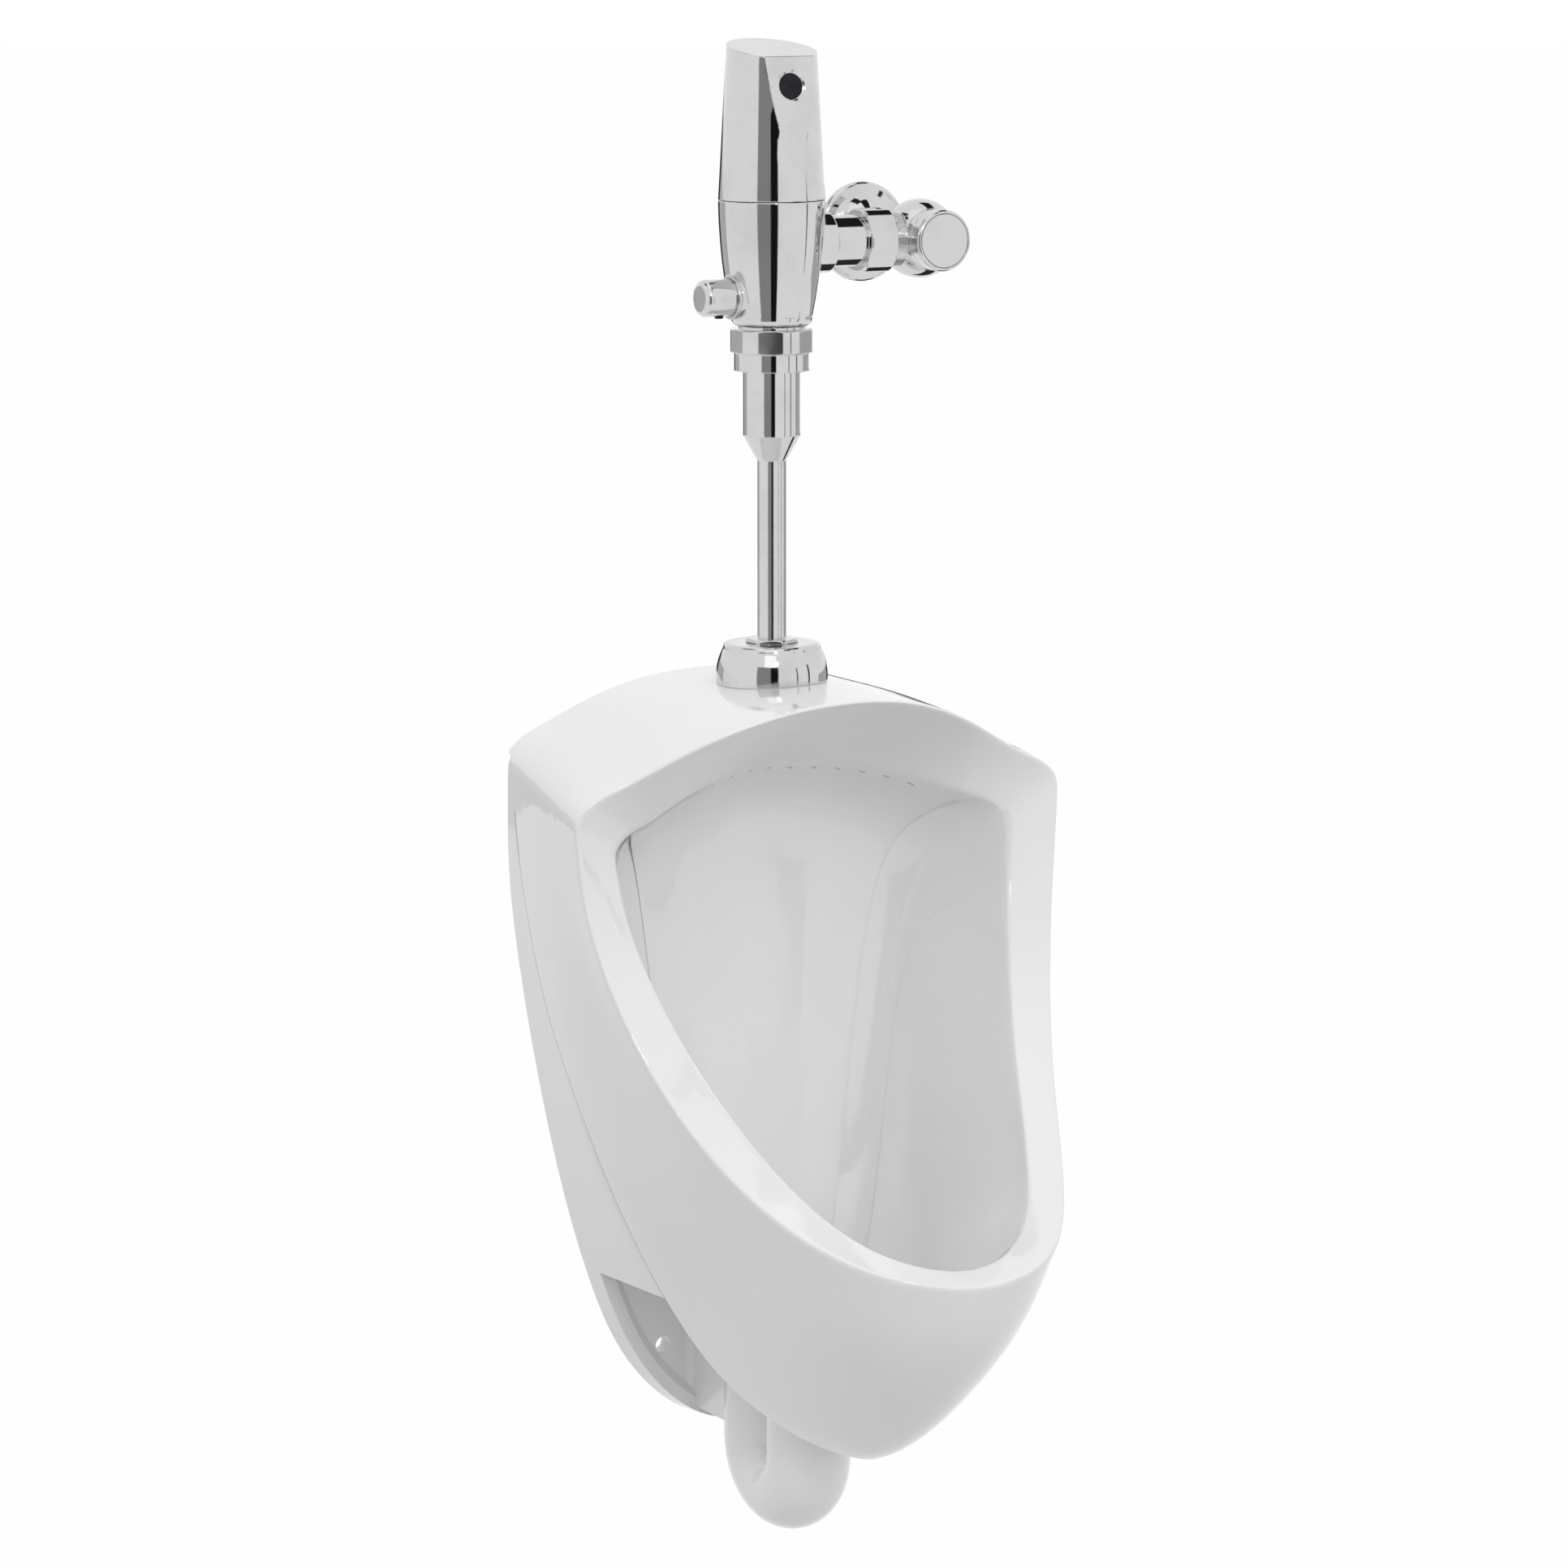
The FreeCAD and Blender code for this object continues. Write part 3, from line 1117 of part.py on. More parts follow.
def stop_cap():
    """Plain cap that pulls off the bonnet's head."""
    foot = STOP_BARREL_DEPTH + SEAT_FIT
    curve = STOP_BARREL_R - CAP_FACE_R
    dip = curve * (1 - math.sqrt(0.5))
    bore = BONNET_HEAD_R + SEAT_FIT
    return turned(
        [(bore, foot), (STOP_BARREL_R, foot), (STOP_BARREL_R, CAP_FACE_DEPTH - curve),
         ((STOP_BARREL_R - dip, CAP_FACE_DEPTH - dip), (CAP_FACE_R, CAP_FACE_DEPTH)), (0, CAP_FACE_DEPTH),
         (0, CAP_FACE_DEPTH - CAP_WALL), (bore, CAP_FACE_DEPTH - CAP_WALL)],
        on_stop(0), V(0, -1, 0))


def supply_adapter():
    end = STOP_INLET_DEPTH + ADAPTER_GRIP
    return pipe(STOP_INLET_BORE - THREAD_FIT, ADAPTER_BORE, on_stop(0), on_stop(end))


def cover_tube():
    return pipe(COVER_TUBE_R, COVER_TUBE_R - COVER_TUBE_WALL, on_stop(0), on_stop(STOP_INLET_DEPTH))


def wall_flange():
    """Dished flange that slides on the cover tube and covers the hole in the wall."""
    def dish(step):
        rim = WALL_FLANGE_RIM - step
        return turned(
            [(0, -step), (WALL_FLANGE_R - step, -step), (WALL_FLANGE_R - step, rim / 2),
             ((WALL_FLANGE_R - step - 1, rim - 0.7), (WALL_FLANGE_R - step - 3.2, rim)),
             (WALL_FLANGE_VALLEY, rim - 1),
             ((WALL_FLANGE_VALLEY - 6, rim + 2.5), (COVER_TUBE_R + 1, WALL_FLANGE_TALL - step)),
             (0, WALL_FLANGE_TALL - step)],
            on_stop(0), V(0, -1, 0))

    return dish(0).cut(dish(WALL_FLANGE_WALL)).cut(
        rod(COVER_TUBE_R + THREAD_FIT, on_stop(-5), on_stop(WALL_FLANGE_TALL + 1)))


def assembly():
    """Every piece by name, in the order in which they go together."""
    glaze = china_skin()
    return {
        "china_body": china_body(glaze),
        "drain_strainer": drain_strainer(),
        "outlet_gasket": outlet_gasket(),
        "wall_hanger_left": wall_hanger(-1),
        "wall_hanger_right": wall_hanger(1),
        "spud": spud(),
        "spud_gasket": spud_gasket(),
        "spud_washer": spud_washer(),
        "spud_locknut": spud_locknut(),
        "slip_gasket": slip_gasket(),
        "spud_coupling_nut": spud_coupling_nut(),
        "spud_flange": spud_flange(glaze),
        "flush_tube": flush_tube(),
        "breaker_cage": breaker_cage(),
        "breaker_sleeve": breaker_sleeve(),
        "outlet_nut": outlet_nut(),
        "valve_body": valve_body(),
        "valve_seat": valve_seat(),
        "piston": piston(),
        "piston_seal": piston_seal(),
        "inner_cover": inner_cover(),
        "solenoid": solenoid(),
        "solenoid_plunger": solenoid_plunger(),
        "electronics_plate": electronics_plate(),
        "battery_pack": battery_pack(),
        "sensor_module": sensor_module(),
        "sensor_cover": sensor_cover(),
        "sensor_lens": sensor_lens(),
        "cover_gasket": cover_gasket(),
        "override_button": override_button(),
        "button_spring": button_spring(),
        "button_collar": button_collar(),
        "supply_tailpiece": supply_tailpiece(),
        "tailpiece_seal": tailpiece_seal(),
        "stop_nut": stop_nut(),
        "stop_body": stop_body(),
        "stop_bonnet": stop_bonnet(),
        "stop_spindle": stop_spindle(),
        "stop_plug": stop_plug(),
        "stop_seal": stop_seal(),
        "stop_cap": stop_cap(),
        "supply_adapter": supply_adapter(),
        "cover_tube": cover_tube(),
        "wall_flange": wall_flange(),
    }


os.makedirs("parts", exist_ok=True)
for name, shape in assembly().items():
    shape.exportStep("parts/" + name + ".step")
    print(name, shape.isValid(), len(shape.Solids), round(shape.Volume / 1000, 2), "cm3")
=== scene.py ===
"""Looks of a wall-hung china urinal with an exposed sensor flush valve, built around its solids."""
import math

import bpy
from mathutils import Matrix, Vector
from mathutils.geometry import interpolate_bezier


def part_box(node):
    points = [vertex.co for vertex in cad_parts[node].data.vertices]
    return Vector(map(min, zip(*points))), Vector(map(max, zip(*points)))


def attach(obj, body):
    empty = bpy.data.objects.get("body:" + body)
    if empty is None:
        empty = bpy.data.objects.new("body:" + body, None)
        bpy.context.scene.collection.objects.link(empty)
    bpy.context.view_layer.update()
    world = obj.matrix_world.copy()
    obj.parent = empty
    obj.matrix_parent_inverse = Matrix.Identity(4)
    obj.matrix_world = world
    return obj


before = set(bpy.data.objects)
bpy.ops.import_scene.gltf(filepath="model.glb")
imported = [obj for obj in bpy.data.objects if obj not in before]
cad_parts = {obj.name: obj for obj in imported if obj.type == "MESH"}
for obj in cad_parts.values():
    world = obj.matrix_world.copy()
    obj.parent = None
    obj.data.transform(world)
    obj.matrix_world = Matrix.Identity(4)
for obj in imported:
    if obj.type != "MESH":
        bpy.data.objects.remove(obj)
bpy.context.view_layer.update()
bpy.ops.object.select_all(action="DESELECT")


# China body: vitreous china, slip-cast in one piece with its trap, glazed white and fired.
# The thick glaze lies in slow waves, and a fine grey line of painted shade runs along the front shell's
# edge.
# The back that stands against the wall is left bare of glaze.

CHINA_TOP = 0.470
EDGE_TIP_DEPTH = 0.250
EDGE_TIP_DROP = 0.506
# The shell's edge from the side, from the shoulder down, in shares of its tip's depth and drop.
EDGE_KEYS = ((-0.024, 0.095), (0.044, 0.107), (0.076, 0.150), (0.136, 0.279), (0.200, 0.427),
             (0.308, 0.565), (0.388, 0.713), (0.448, 0.828), (0.600, 0.935), (0.800, 0.986), (1, 1))
# Passes that even out the curve through the keys, and steps on it from key to key.
EDGE_PASSES = 40
EDGE_STEPS = 4
# The painted shade line: the keys that it runs between, its ends, and its width on both sides of the edge.
LINE_FIRST_KEY = 2
LINE_LAST_KEY = 9
LINE_TOP = 0.388
LINE_FADE = 0.006
LINE_FOOT = 0.045
LINE_AHEAD = 0.0013
LINE_FULL_AHEAD = 0.0004
LINE_BEHIND = 0.0010
LINE_SOFT = 0.0002
# Near the shoulder the painted shade line lies a little further ahead of the edge.
LINE_LEAD = 0.0013
LEAD_FOOT = 0.342
LEAD_TOP = 0.362
# Half width that the outer skin stays outside of, low and high on the shell.
SKIN_LOW_Z = 0.024
SKIN_LOW_HALF = 0.065
SKIN_HIGH_Z = 0.300
SKIN_HIGH_HALF = 0.155
SKIN_SOFT = 0.002
BARE_DEPTH = -0.052
BARE_FADE = 0.004


class Socket:
    """A socket in a material's nodes. Sums on sockets add the Math nodes that work them out."""

    def __init__(self, tree, socket=None):
        self.tree = tree
        self.socket = socket

    def node(self, kind, sockets, out=0, **settings):
        """Adds a node, sets it up, fills or links its sockets and gives one of its outputs."""
        made = self.tree.nodes.new("ShaderNode" + kind)
        for name, value in settings.items():
            if name == "stops":
                spots = made.color_ramp.elements
                spots[0].position, spots[1].position = value[0][0], value[-1][0]
                for place, shade in value[1:-1]:
                    spots.new(place)
                for spot, (place, shade) in zip(spots, value):
                    spot.color = shade
            else:
                setattr(made, name, value)
        self.fill(made, sockets)
        return Socket(self.tree, made.outputs[out])

    def fill(self, made, sockets):
        """Sets or links the sockets of a node."""
        for name, value in sockets.items():
            if isinstance(value, Socket):
                self.tree.links.new(value.socket, made.inputs[name])
            else:
                made.inputs[name].default_value = value

    def maths(self, operation, first, second):
        return self.node("Math", {0: first, 1: second}, operation=operation)

    def __add__(self, other):
        return self.maths("ADD", self, other)

    def __mul__(self, other):
        return self.maths("MULTIPLY", self, other)

    def __sub__(self, other):
        return self.maths("SUBTRACT", self, other)

    def __rsub__(self, other):
        return self.maths("SUBTRACT", other, self)

    def __abs__(self):
        return self.node("Math", {0: self}, operation="ABSOLUTE")

    __radd__ = __add__
    __rmul__ = __mul__

    def ramp(self, low, high, start=0.0, end=1.0, shape="SMOOTHSTEP"):
        """Step of this value between two limits, smooth unless its shape says otherwise."""
        return self.node("MapRange", {"Value": self, "From Min": low, "From Max": high,
                                      "To Min": start, "To Max": end}, interpolation_type=shape)

    def blend(self, first, second):
        """Colour that goes from the first to the second as this value goes from 0 to 1."""
        return self.node("Mix", {0: self, 6: first, 7: second}, out=2, data_type="RGBA")


def new_finish(name):
    """New material: its start of sums, its surface shader and the place on the piece."""
    material = bpy.data.materials.new(name)
    material.use_nodes = True
    start = Socket(material.node_tree)
    place = start.node("TexCoord", {}, out="Object")
    return material, start, material.node_tree.nodes["Principled BSDF"], place


def dress(material, *nodes):
    """Gives solids of the frame their material."""
    for name in nodes:
        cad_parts[name].material_slots[0].material = material


def shell_edge():
    """Points up the front shell's edge, as (depth, height), on an even curve through its keys."""
    keys = [Vector((-EDGE_TIP_DEPTH * depth, CHINA_TOP - EDGE_TIP_DROP * drop))
            for depth, drop in EDGE_KEYS]
    gaps = [(last - first).length for first, last in zip(keys, keys[1:])]
    slopes = [(last - first) / gap for first, last, gap in zip(keys, keys[1:], gaps)]
    leans = [slopes[0] + (slopes[0] - slopes[1]) * (gaps[0] / (gaps[0] + gaps[1]))] + slopes
    for turn in range(EDGE_PASSES):
        for i in range(1, len(keys) - 1):
            before, after = gaps[i - 1], gaps[i]
            pull = (slopes[i] * before + slopes[i - 1] * after) * 3
            leans[i] = (pull - leans[i - 1] * after - leans[i + 1] * before) / (2 * (before + after))
    points = []
    for i in range(LINE_FIRST_KEY, LINE_LAST_KEY):
        above, below = keys[i], keys[i + 1]
        third = gaps[i] / 3
        points += interpolate_bezier(above, above + leans[i] * third, below - leans[i + 1] * third, below,
                                     EDGE_STEPS + 1)[:-1]
    return points[::-1]


def shell_shade_line(start, place):
    """1 on the painted shade line along the front shell's edge, on the outer skin alone."""
    points = shell_edge()
    foot, top = points[0].y, points[-1].y
    near = points[0].x
    stops = [((point.y - foot) / (top - foot), [point.x / near] * 3 + [1]) for point in points]
    x, y, z = [start.node("SeparateXYZ", {0: place}, out=axis) for axis in "XYZ"]
    edge = start.node("ValToRGB", {0: (z - foot) * (1 / (top - foot))}, stops=stops)
    ahead = edge * near - y - z.ramp(LEAD_FOOT, LEAD_TOP, 0, LINE_LEAD)
    rear = ahead.ramp(-LINE_BEHIND - LINE_SOFT, -LINE_BEHIND)
    band = rear * (1 - ahead.ramp(LINE_FULL_AHEAD, LINE_AHEAD))
    outside = abs(x) - z.ramp(SKIN_LOW_Z, SKIN_HIGH_Z, SKIN_LOW_HALF, SKIN_HIGH_HALF, shape="LINEAR")
    ends = z.ramp(0, LINE_FOOT) * (1 - z.ramp(LINE_TOP - LINE_FADE, LINE_TOP))
    return band * outside.ramp(0, SKIN_SOFT) * ends


def china_glaze():
    white = (0.83, 0.83, 0.83, 1)
    cool = (0.80, 0.802, 0.805, 1)
    bisque = (0.66, 0.62, 0.55, 1)
    # Grey of the painted shade line where the shell's edge stands over the side panel.
    painted_edge_shade = (0.20, 0.20, 0.20, 1)
    material, start, shader, place = new_finish("china_glaze")
    slow = start.node("TexNoise", {"Vector": place, "Scale": 7.0, "Detail": 2.0})
    peel = start.node("TexNoise", {"Vector": place, "Scale": 90.0, "Detail": 3.0})
    clay = start.node("TexNoise", {"Vector": place, "Scale": 420.0, "Detail": 4.0})
    to_wall = start.node("SeparateXYZ", {0: start.node("TexCoord", {}, out="Normal")}, out="Y")
    depth = start.node("SeparateXYZ", {0: place}, out="Y")
    bare = to_wall.ramp(0.80, 0.97) * depth.ramp(BARE_DEPTH - BARE_FADE, BARE_DEPTH)
    # The grey line along the shell's edge is painted shade, not a colour of the glaze.
    glaze = shell_shade_line(start, place).blend(slow.ramp(0.35, 0.65).blend(white, cool), painted_edge_shade)
    wave = slow * 0.7 + peel * 0.02 + bare * clay * 0.3
    start.fill(shader, {
        "Base Color": bare.blend(glaze, bisque),
        "Roughness": bare * 0.6 + peel.ramp(0.3, 0.7, 0.07, 0.12),
        "Coat Weight": (1 - bare) * 0.4,
        "Coat Roughness": 0.03,
        "Specular IOR Level": 0.40,
        "Normal": start.node("Bump", {"Height": wave, "Strength": 0.12, "Distance": 0.004}),
    })
    return material


dress(china_glaze(), "china_body")


# Bowl pads: two low pads of the same fired glaze, sunk in the bowl's wall on both sides of the drain.
# The real bowl's wall is unbroken there, and they stand for it where the recess behind comes through.

PAD_PLACE = Vector((0.0303, -0.0971, 0.05765))
PAD_FACING = Vector((-0.453, -0.750, 0.479)).normalized()
PAD_R = 0.0048
PAD_THICK = 0.0018
PAD_PROUD = 0.0003
PAD_ROUND = PAD_THICK * 0.6
PAD_SIDES = 48
# Cosine from which a face counts as facing a given way.
SQUARE_ON = 0.9


def bar(name, middle, along, radius, length, sides):
    """Round bar along a direction, with its place in its mesh."""
    bpy.ops.object.select_all(action="DESELECT")
    bpy.ops.mesh.primitive_cylinder_add(vertices=sides, radius=radius, depth=length, location=middle,
                                        rotation=along.to_track_quat("Z", "Y").to_euler())
    made = bpy.context.object
    made.name = name
    bpy.ops.object.transform_apply(location=True, rotation=True, scale=True)
    return made


def pick(piece, kind, wanted):
    """Opens a piece in edit mode with only those faces, edges or points selected that are wanted."""
    bpy.ops.object.mode_set(mode="EDIT")
    bpy.ops.mesh.select_mode(type=kind)
    bpy.ops.mesh.select_all(action="DESELECT")
    bpy.ops.object.mode_set(mode="OBJECT")
    mesh = piece.data
    for item in {"FACE": mesh.polygons, "EDGE": mesh.edges, "VERT": mesh.vertices}[kind]:
        item.select = wanted(item)
    bpy.ops.object.mode_set(mode="EDIT")


def bowl_pad(name, side):
    """Round pad with a soft edge that faces into the bowl, on one side of it."""
    turned = Vector((side, 1, 1))
    facing = PAD_FACING * turned
    middle = PAD_PLACE * turned + facing * (PAD_PROUD - PAD_THICK / 2)
    pad = bar(name, middle, facing, PAD_R, PAD_THICK, PAD_SIDES)
    pick(pad, "FACE", lambda face: face.normal.dot(facing) > SQUARE_ON)
    bpy.ops.mesh.bevel(offset=PAD_ROUND, segments=5)
    bpy.ops.object.mode_set(mode="OBJECT")
    bpy.ops.object.shade_smooth_by_angle(angle=math.radians(40))
    pad.data.materials.append(bpy.data.materials["china_glaze"])
    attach(pad, "fixture")


bowl_pad("bowl_pad_right", 1)
bowl_pad("bowl_pad_left", -1)


# Steel pieces: the hangers that carry the china, the drain's strainer, a washer, a spring and a plunger.
# They are stainless steel, pressed from sheet, wound from wire or turned, with a fine brushed grain.

def brushed_steel():
    light = (0.56, 0.56, 0.55, 1)
    dark = (0.40, 0.40, 0.40, 1)
    material, start, shader, place = new_finish("brushed_steel")
    drawn = start.node("Mapping", {"Vector": place, "Scale": (30.0, 900.0, 900.0)})
    grain = start.node("TexNoise", {"Vector": drawn, "Scale": 1.0, "Detail": 3.0})
    start.fill(shader, {
        "Base Color": grain.blend(light, dark),
        "Metallic": 1.0,
        "Roughness": grain.ramp(0.3, 0.7, 0.26, 0.40),
        "Normal": start.node("Bump", {"Height": grain, "Strength": 0.12, "Distance": 0.0002}),
    })
    return material


dress(brushed_steel(), "wall_hanger_left", "wall_hanger_right", "drain_strainer", "spud_washer",
      "button_spring", "solenoid_plunger")


# Rubber pieces: the gaskets and seals of the joints, and the vacuum breaker's sleeve.
# They are moulded from black rubber, dull with a fine bloom, and are squeezed between harder pieces.

def black_rubber():
    black = (0.018, 0.018, 0.019, 1)
    bloom = (0.045, 0.045, 0.046, 1)
    material, start, shader, place = new_finish("black_rubber")
    speck = start.node("TexNoise", {"Vector": place, "Scale": 260.0, "Detail": 4.0})
    start.fill(shader, {
        "Base Color": speck.ramp(0.45, 0.8).blend(black, bloom),
        "Roughness": speck.ramp(0.3, 0.7, 0.6, 0.8),
        "Normal": start.node("Bump", {"Height": speck, "Strength": 0.2, "Distance": 0.0003}),
    })
    return material


dress(black_rubber(), "outlet_gasket", "spud_gasket", "slip_gasket", "breaker_sleeve", "piston_seal",
      "cover_gasket", "tailpiece_seal", "stop_seal")


# Raw brass pieces: the spud and its locknut, the valve's seat, the pipe's adapter and the stop's inside.
# They are turned from bar, with tool marks, and aren't plated, because other pieces cover them.

def machined_brass():
    bright = (0.66, 0.47, 0.20, 1)
    tarnished = (0.44, 0.29, 0.12, 1)
    material, start, shader, place = new_finish("machined_brass")
    stain = start.node("TexNoise", {"Vector": place, "Scale": 48.0, "Detail": 5.0})
    marks = start.node("TexWave", {"Vector": place, "Scale": 700.0, "Distortion": 0.4}, out=1,
                       bands_direction="Z")
    start.fill(shader, {
        "Base Color": stain.ramp(0.4, 0.75).blend(bright, tarnished),
        "Metallic": 1.0,
        "Roughness": stain.ramp(0.3, 0.7, 0.24, 0.42),
        "Normal": start.node("Bump", {"Height": marks, "Strength": 0.15, "Distance": 0.0002}),
    })
    return material


dress(machined_brass(), "spud", "spud_locknut", "valve_seat", "supply_adapter", "stop_bonnet",
      "stop_spindle", "stop_plug")


# Chromed pieces: the flush tube, the valve's body and cover, the stop, and their nuts and flanges.
# They are cast or turned brass under bright nickel and chrome, polished on a wheel and screwed together.
# The polish leaves faint waves and wipe marks, seen only where a dark edge is mirrored.

EDGE_ROUND = 0.0014
GROOVE_HALF = 0.0005
GROOVE_DEEP = 0.0006


def polished_chrome(name, centre=None, radius=0.0):
    """Chrome, with a fine turned groove round an axis along Y where the piece has one, and painted shade
    in it.
    """
    plate = (0.64, 0.64, 0.64, 1)
    deep = (0.59, 0.592, 0.597, 1)
    shadow = (0.10, 0.10, 0.10, 1)
    material, start, shader, place = new_finish(name)
    wipe = start.node("TexNoise", {"Vector": place, "Scale": 34.0, "Detail": 4.0, "Roughness": 0.6})
    wave = start.node("TexNoise", {"Vector": place, "Scale": 55.0, "Detail": 1.0})
    colour = wipe.ramp(0.4, 0.7).blend(plate, deep)
    rounded = start.node("Bevel", {"Radius": EDGE_ROUND}, samples=6)
    bump = start.node("Bump", {"Height": wave, "Strength": 0.06, "Distance": 0.0004, "Normal": rounded})
    if centre is not None:
        flat = start.node("Mapping", {"Vector": place, "Location": (-centre.x, 0, -centre.z),
                                      "Scale": (1, 0, 1)})
        off_axis = start.node("VectorMath", {0: flat}, out="Value", operation="LENGTH")
        groove_and_shade = abs(off_axis - radius).ramp(0, GROOVE_HALF)
        # Painted shade: the colour goes dark along the middle of the groove, which the bump also follows.
        colour = groove_and_shade.blend(shadow, colour)
        bump = start.node("Bump", {"Height": groove_and_shade, "Strength": 1.0, "Distance": GROOVE_DEEP,
                                   "Normal": bump})
    start.fill(shader, {
        "Base Color": colour,
        "Metallic": 1.0,
        "Roughness": wipe.ramp(0.35, 0.75, 0.035, 0.075),
        "Normal": bump,
    })
    return material


dress(polished_chrome("polished_chrome"), "spud_flange", "flush_tube", "spud_coupling_nut", "outlet_nut",
      "valve_body", "sensor_cover", "override_button", "button_collar", "supply_tailpiece", "stop_nut",
      "stop_body", "cover_tube", "wall_flange")


# Stop cap: a cap turned from brass and chromed, which is pushed on over the stop's bonnet.
# A fine groove is turned in its flat face, and painted shade in it shows as a dark ring.

CAP_GROOVE_R = 0.0180
low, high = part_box("stop_cap")
dress(polished_chrome("grooved_chrome", (low + high) / 2, CAP_GROOVE_R), "stop_cap")


# Moulded inner pieces: the breaker's cage, the piston, the inner cover, and what holds the electronics.
# They are moulded from black plastic with a spark-eroded grain, and are held between the outer pieces.

PLASTIC_BLACK = (0.025, 0.025, 0.027, 1)
PLASTIC_PALE = (0.04, 0.04, 0.042, 1)


def moulded_plastic(name, colour, light):
    material, start, shader, place = new_finish(name)
    grain = start.node("TexNoise", {"Vector": place, "Scale": 900.0, "Detail": 3.0})
    start.fill(shader, {
        "Base Color": grain.ramp(0.4, 0.7).blend(colour, light),
        "Roughness": grain.ramp(0.3, 0.7, 0.38, 0.52),
        "Normal": start.node("Bump", {"Height": grain, "Strength": 0.15, "Distance": 0.0002}),
    })
    return material


dress(moulded_plastic("moulded_plastic", PLASTIC_BLACK, PLASTIC_PALE), "breaker_cage", "piston",
      "inner_cover", "solenoid", "electronics_plate", "sensor_module")


# Battery pack: the cells that run the sensor and the solenoid, in a sleeve of dark blue plastic film.
# The sleeve is shrunk on with heat, and the pack sits inside the sensor cover.

SLEEVE_BLUE = (0.03, 0.06, 0.16, 1)
SLEEVE_PALE = (0.04, 0.075, 0.19, 1)
dress(moulded_plastic("battery_sleeve", SLEEVE_BLUE, SLEEVE_PALE), "battery_pack")


# Sensor lens: a disc of deep smoked plastic that passes only infrared light.
# It is moulded with a polished face and sits in a hole in the cover's front.

def smoked_lens():
    black = (0.006, 0.006, 0.008, 1)
    violet = (0.014, 0.010, 0.018, 1)
    material, start, shader, place = new_finish("smoked_lens")
    cloud = start.node("TexNoise", {"Vector": place, "Scale": 160.0, "Detail": 2.0})
    start.fill(shader, {
        "Base Color": cloud.ramp(0.3, 0.7).blend(black, violet),
        "Roughness": cloud.ramp(0.3, 0.7, 0.05, 0.09),
        "Specular IOR Level": 0.2,
    })
    return material


dress(smoked_lens(), "sensor_lens")


# Neck thread: the fine thread cut on the stop's brass neck, of which the nut leaves a few turns bare.
# It is chromed with the stop, and shows as close bright and dark lines.

NECK_START = 0.0862
NECK_END = 0.0940
NECK_R = 0.01876
NECK_SIDES = 96
THREAD_TURNS = 6
THREAD_RISE = 1.018
THREAD_WALL = 0.0005
low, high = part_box("stop_nut")
neck_long = NECK_END - NECK_START
half_turn = neck_long / (THREAD_TURNS * 2)
neck_axis = Vector(((NECK_START + NECK_END) / 2, (low.y + high.y) / 2, (low.z + high.z) / 2))
thread = bar("neck_thread", neck_axis, Vector((1, 0, 0)), NECK_R, neck_long, NECK_SIDES)
pick(thread, "FACE", lambda face: abs(face.normal.x) > SQUARE_ON)
bpy.ops.mesh.delete(type="FACE")


def runs_along_neck(edge):
    first, last = [thread.data.vertices[end].co.x for end in edge.vertices]
    return abs(last - first) > half_turn


def on_crest(point):
    return round((point.co.x - NECK_START) / half_turn) % 2 == 1


pick(thread, "EDGE", runs_along_neck)
bpy.ops.mesh.subdivide(number_cuts=THREAD_TURNS * 2 - 1)
pick(thread, "VERT", on_crest)
bpy.ops.transform.resize(value=(1, THREAD_RISE, THREAD_RISE), center_override=neck_axis)
bpy.ops.object.mode_set(mode="OBJECT")
wall = thread.modifiers.new("wall", "SOLIDIFY")
wall.thickness = THREAD_WALL
wall.offset = -1
bpy.ops.object.modifier_apply(modifier="wall")
bpy.ops.object.shade_smooth_by_angle(angle=math.radians(20))
thread.data.materials.append(bpy.data.materials["polished_chrome"])
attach(thread, "fixture")


# Small socket screws: one keeps the stop's neck from turning, one holds the button's barrel on its stem.
# Both are turned from steel and blackened, with a six-sided socket, and are screwed in nearly flush.

SCREW_SIDES = 36
# The screw's length, the round of its end and its socket's depth, in shares of how far it stands proud.
SCREW_LENGTH = 3.0
SCREW_ROUND = 0.45
SOCKET_DEPTH = 0.8
# The socket's radius as a share of the screw's.
SOCKET_WIDTH = 0.55


def blackened_steel():
    black = (0.020, 0.020, 0.021, 1)
    worn = (0.09, 0.09, 0.09, 1)
    material, start, shader, place = new_finish("blackened_steel")
    grain = start.node("TexNoise", {"Vector": place, "Scale": 900.0, "Detail": 3.0})
    start.fill(shader, {
        "Base Color": grain.ramp(0.5, 0.8).blend(black, worn),
        "Metallic": 0.7,
        "Roughness": grain.ramp(0.3, 0.7, 0.30, 0.45),
        "Normal": start.node("Bump", {"Height": grain, "Strength": 0.1, "Distance": 0.0001}),
    })
    return material


def socket_screw(name, head, facing, radius, proud):
    """Headless screw that faces out of the piece at head, with a rounded end and a socket sunk in it."""
    length = proud * SCREW_LENGTH
    screw = bar(name, head + facing * (proud - length / 2), facing, radius, length, SCREW_SIDES)
    pick(screw, "FACE", lambda face: face.normal.dot(facing) > SQUARE_ON)
    bpy.ops.mesh.bevel(offset=proud * SCREW_ROUND, segments=3)
    bpy.ops.object.mode_set(mode="OBJECT")
    key = bar("key", head + facing * proud, facing, radius * SOCKET_WIDTH, proud * SOCKET_DEPTH * 2, 6)
    socket = screw.modifiers.new("socket", "BOOLEAN")
    socket.object = key
    socket.operation = "DIFFERENCE"
    socket.solver = "EXACT"
    bpy.context.view_layer.objects.active = screw
    bpy.ops.object.modifier_apply(modifier="socket")
    bpy.data.objects.remove(key)
    bpy.ops.object.select_all(action="DESELECT")
    screw.select_set(True)
    bpy.ops.object.shade_smooth_by_angle(angle=math.radians(30))
    screw.data.materials.append(bpy.data.materials["blackened_steel"])
    return screw


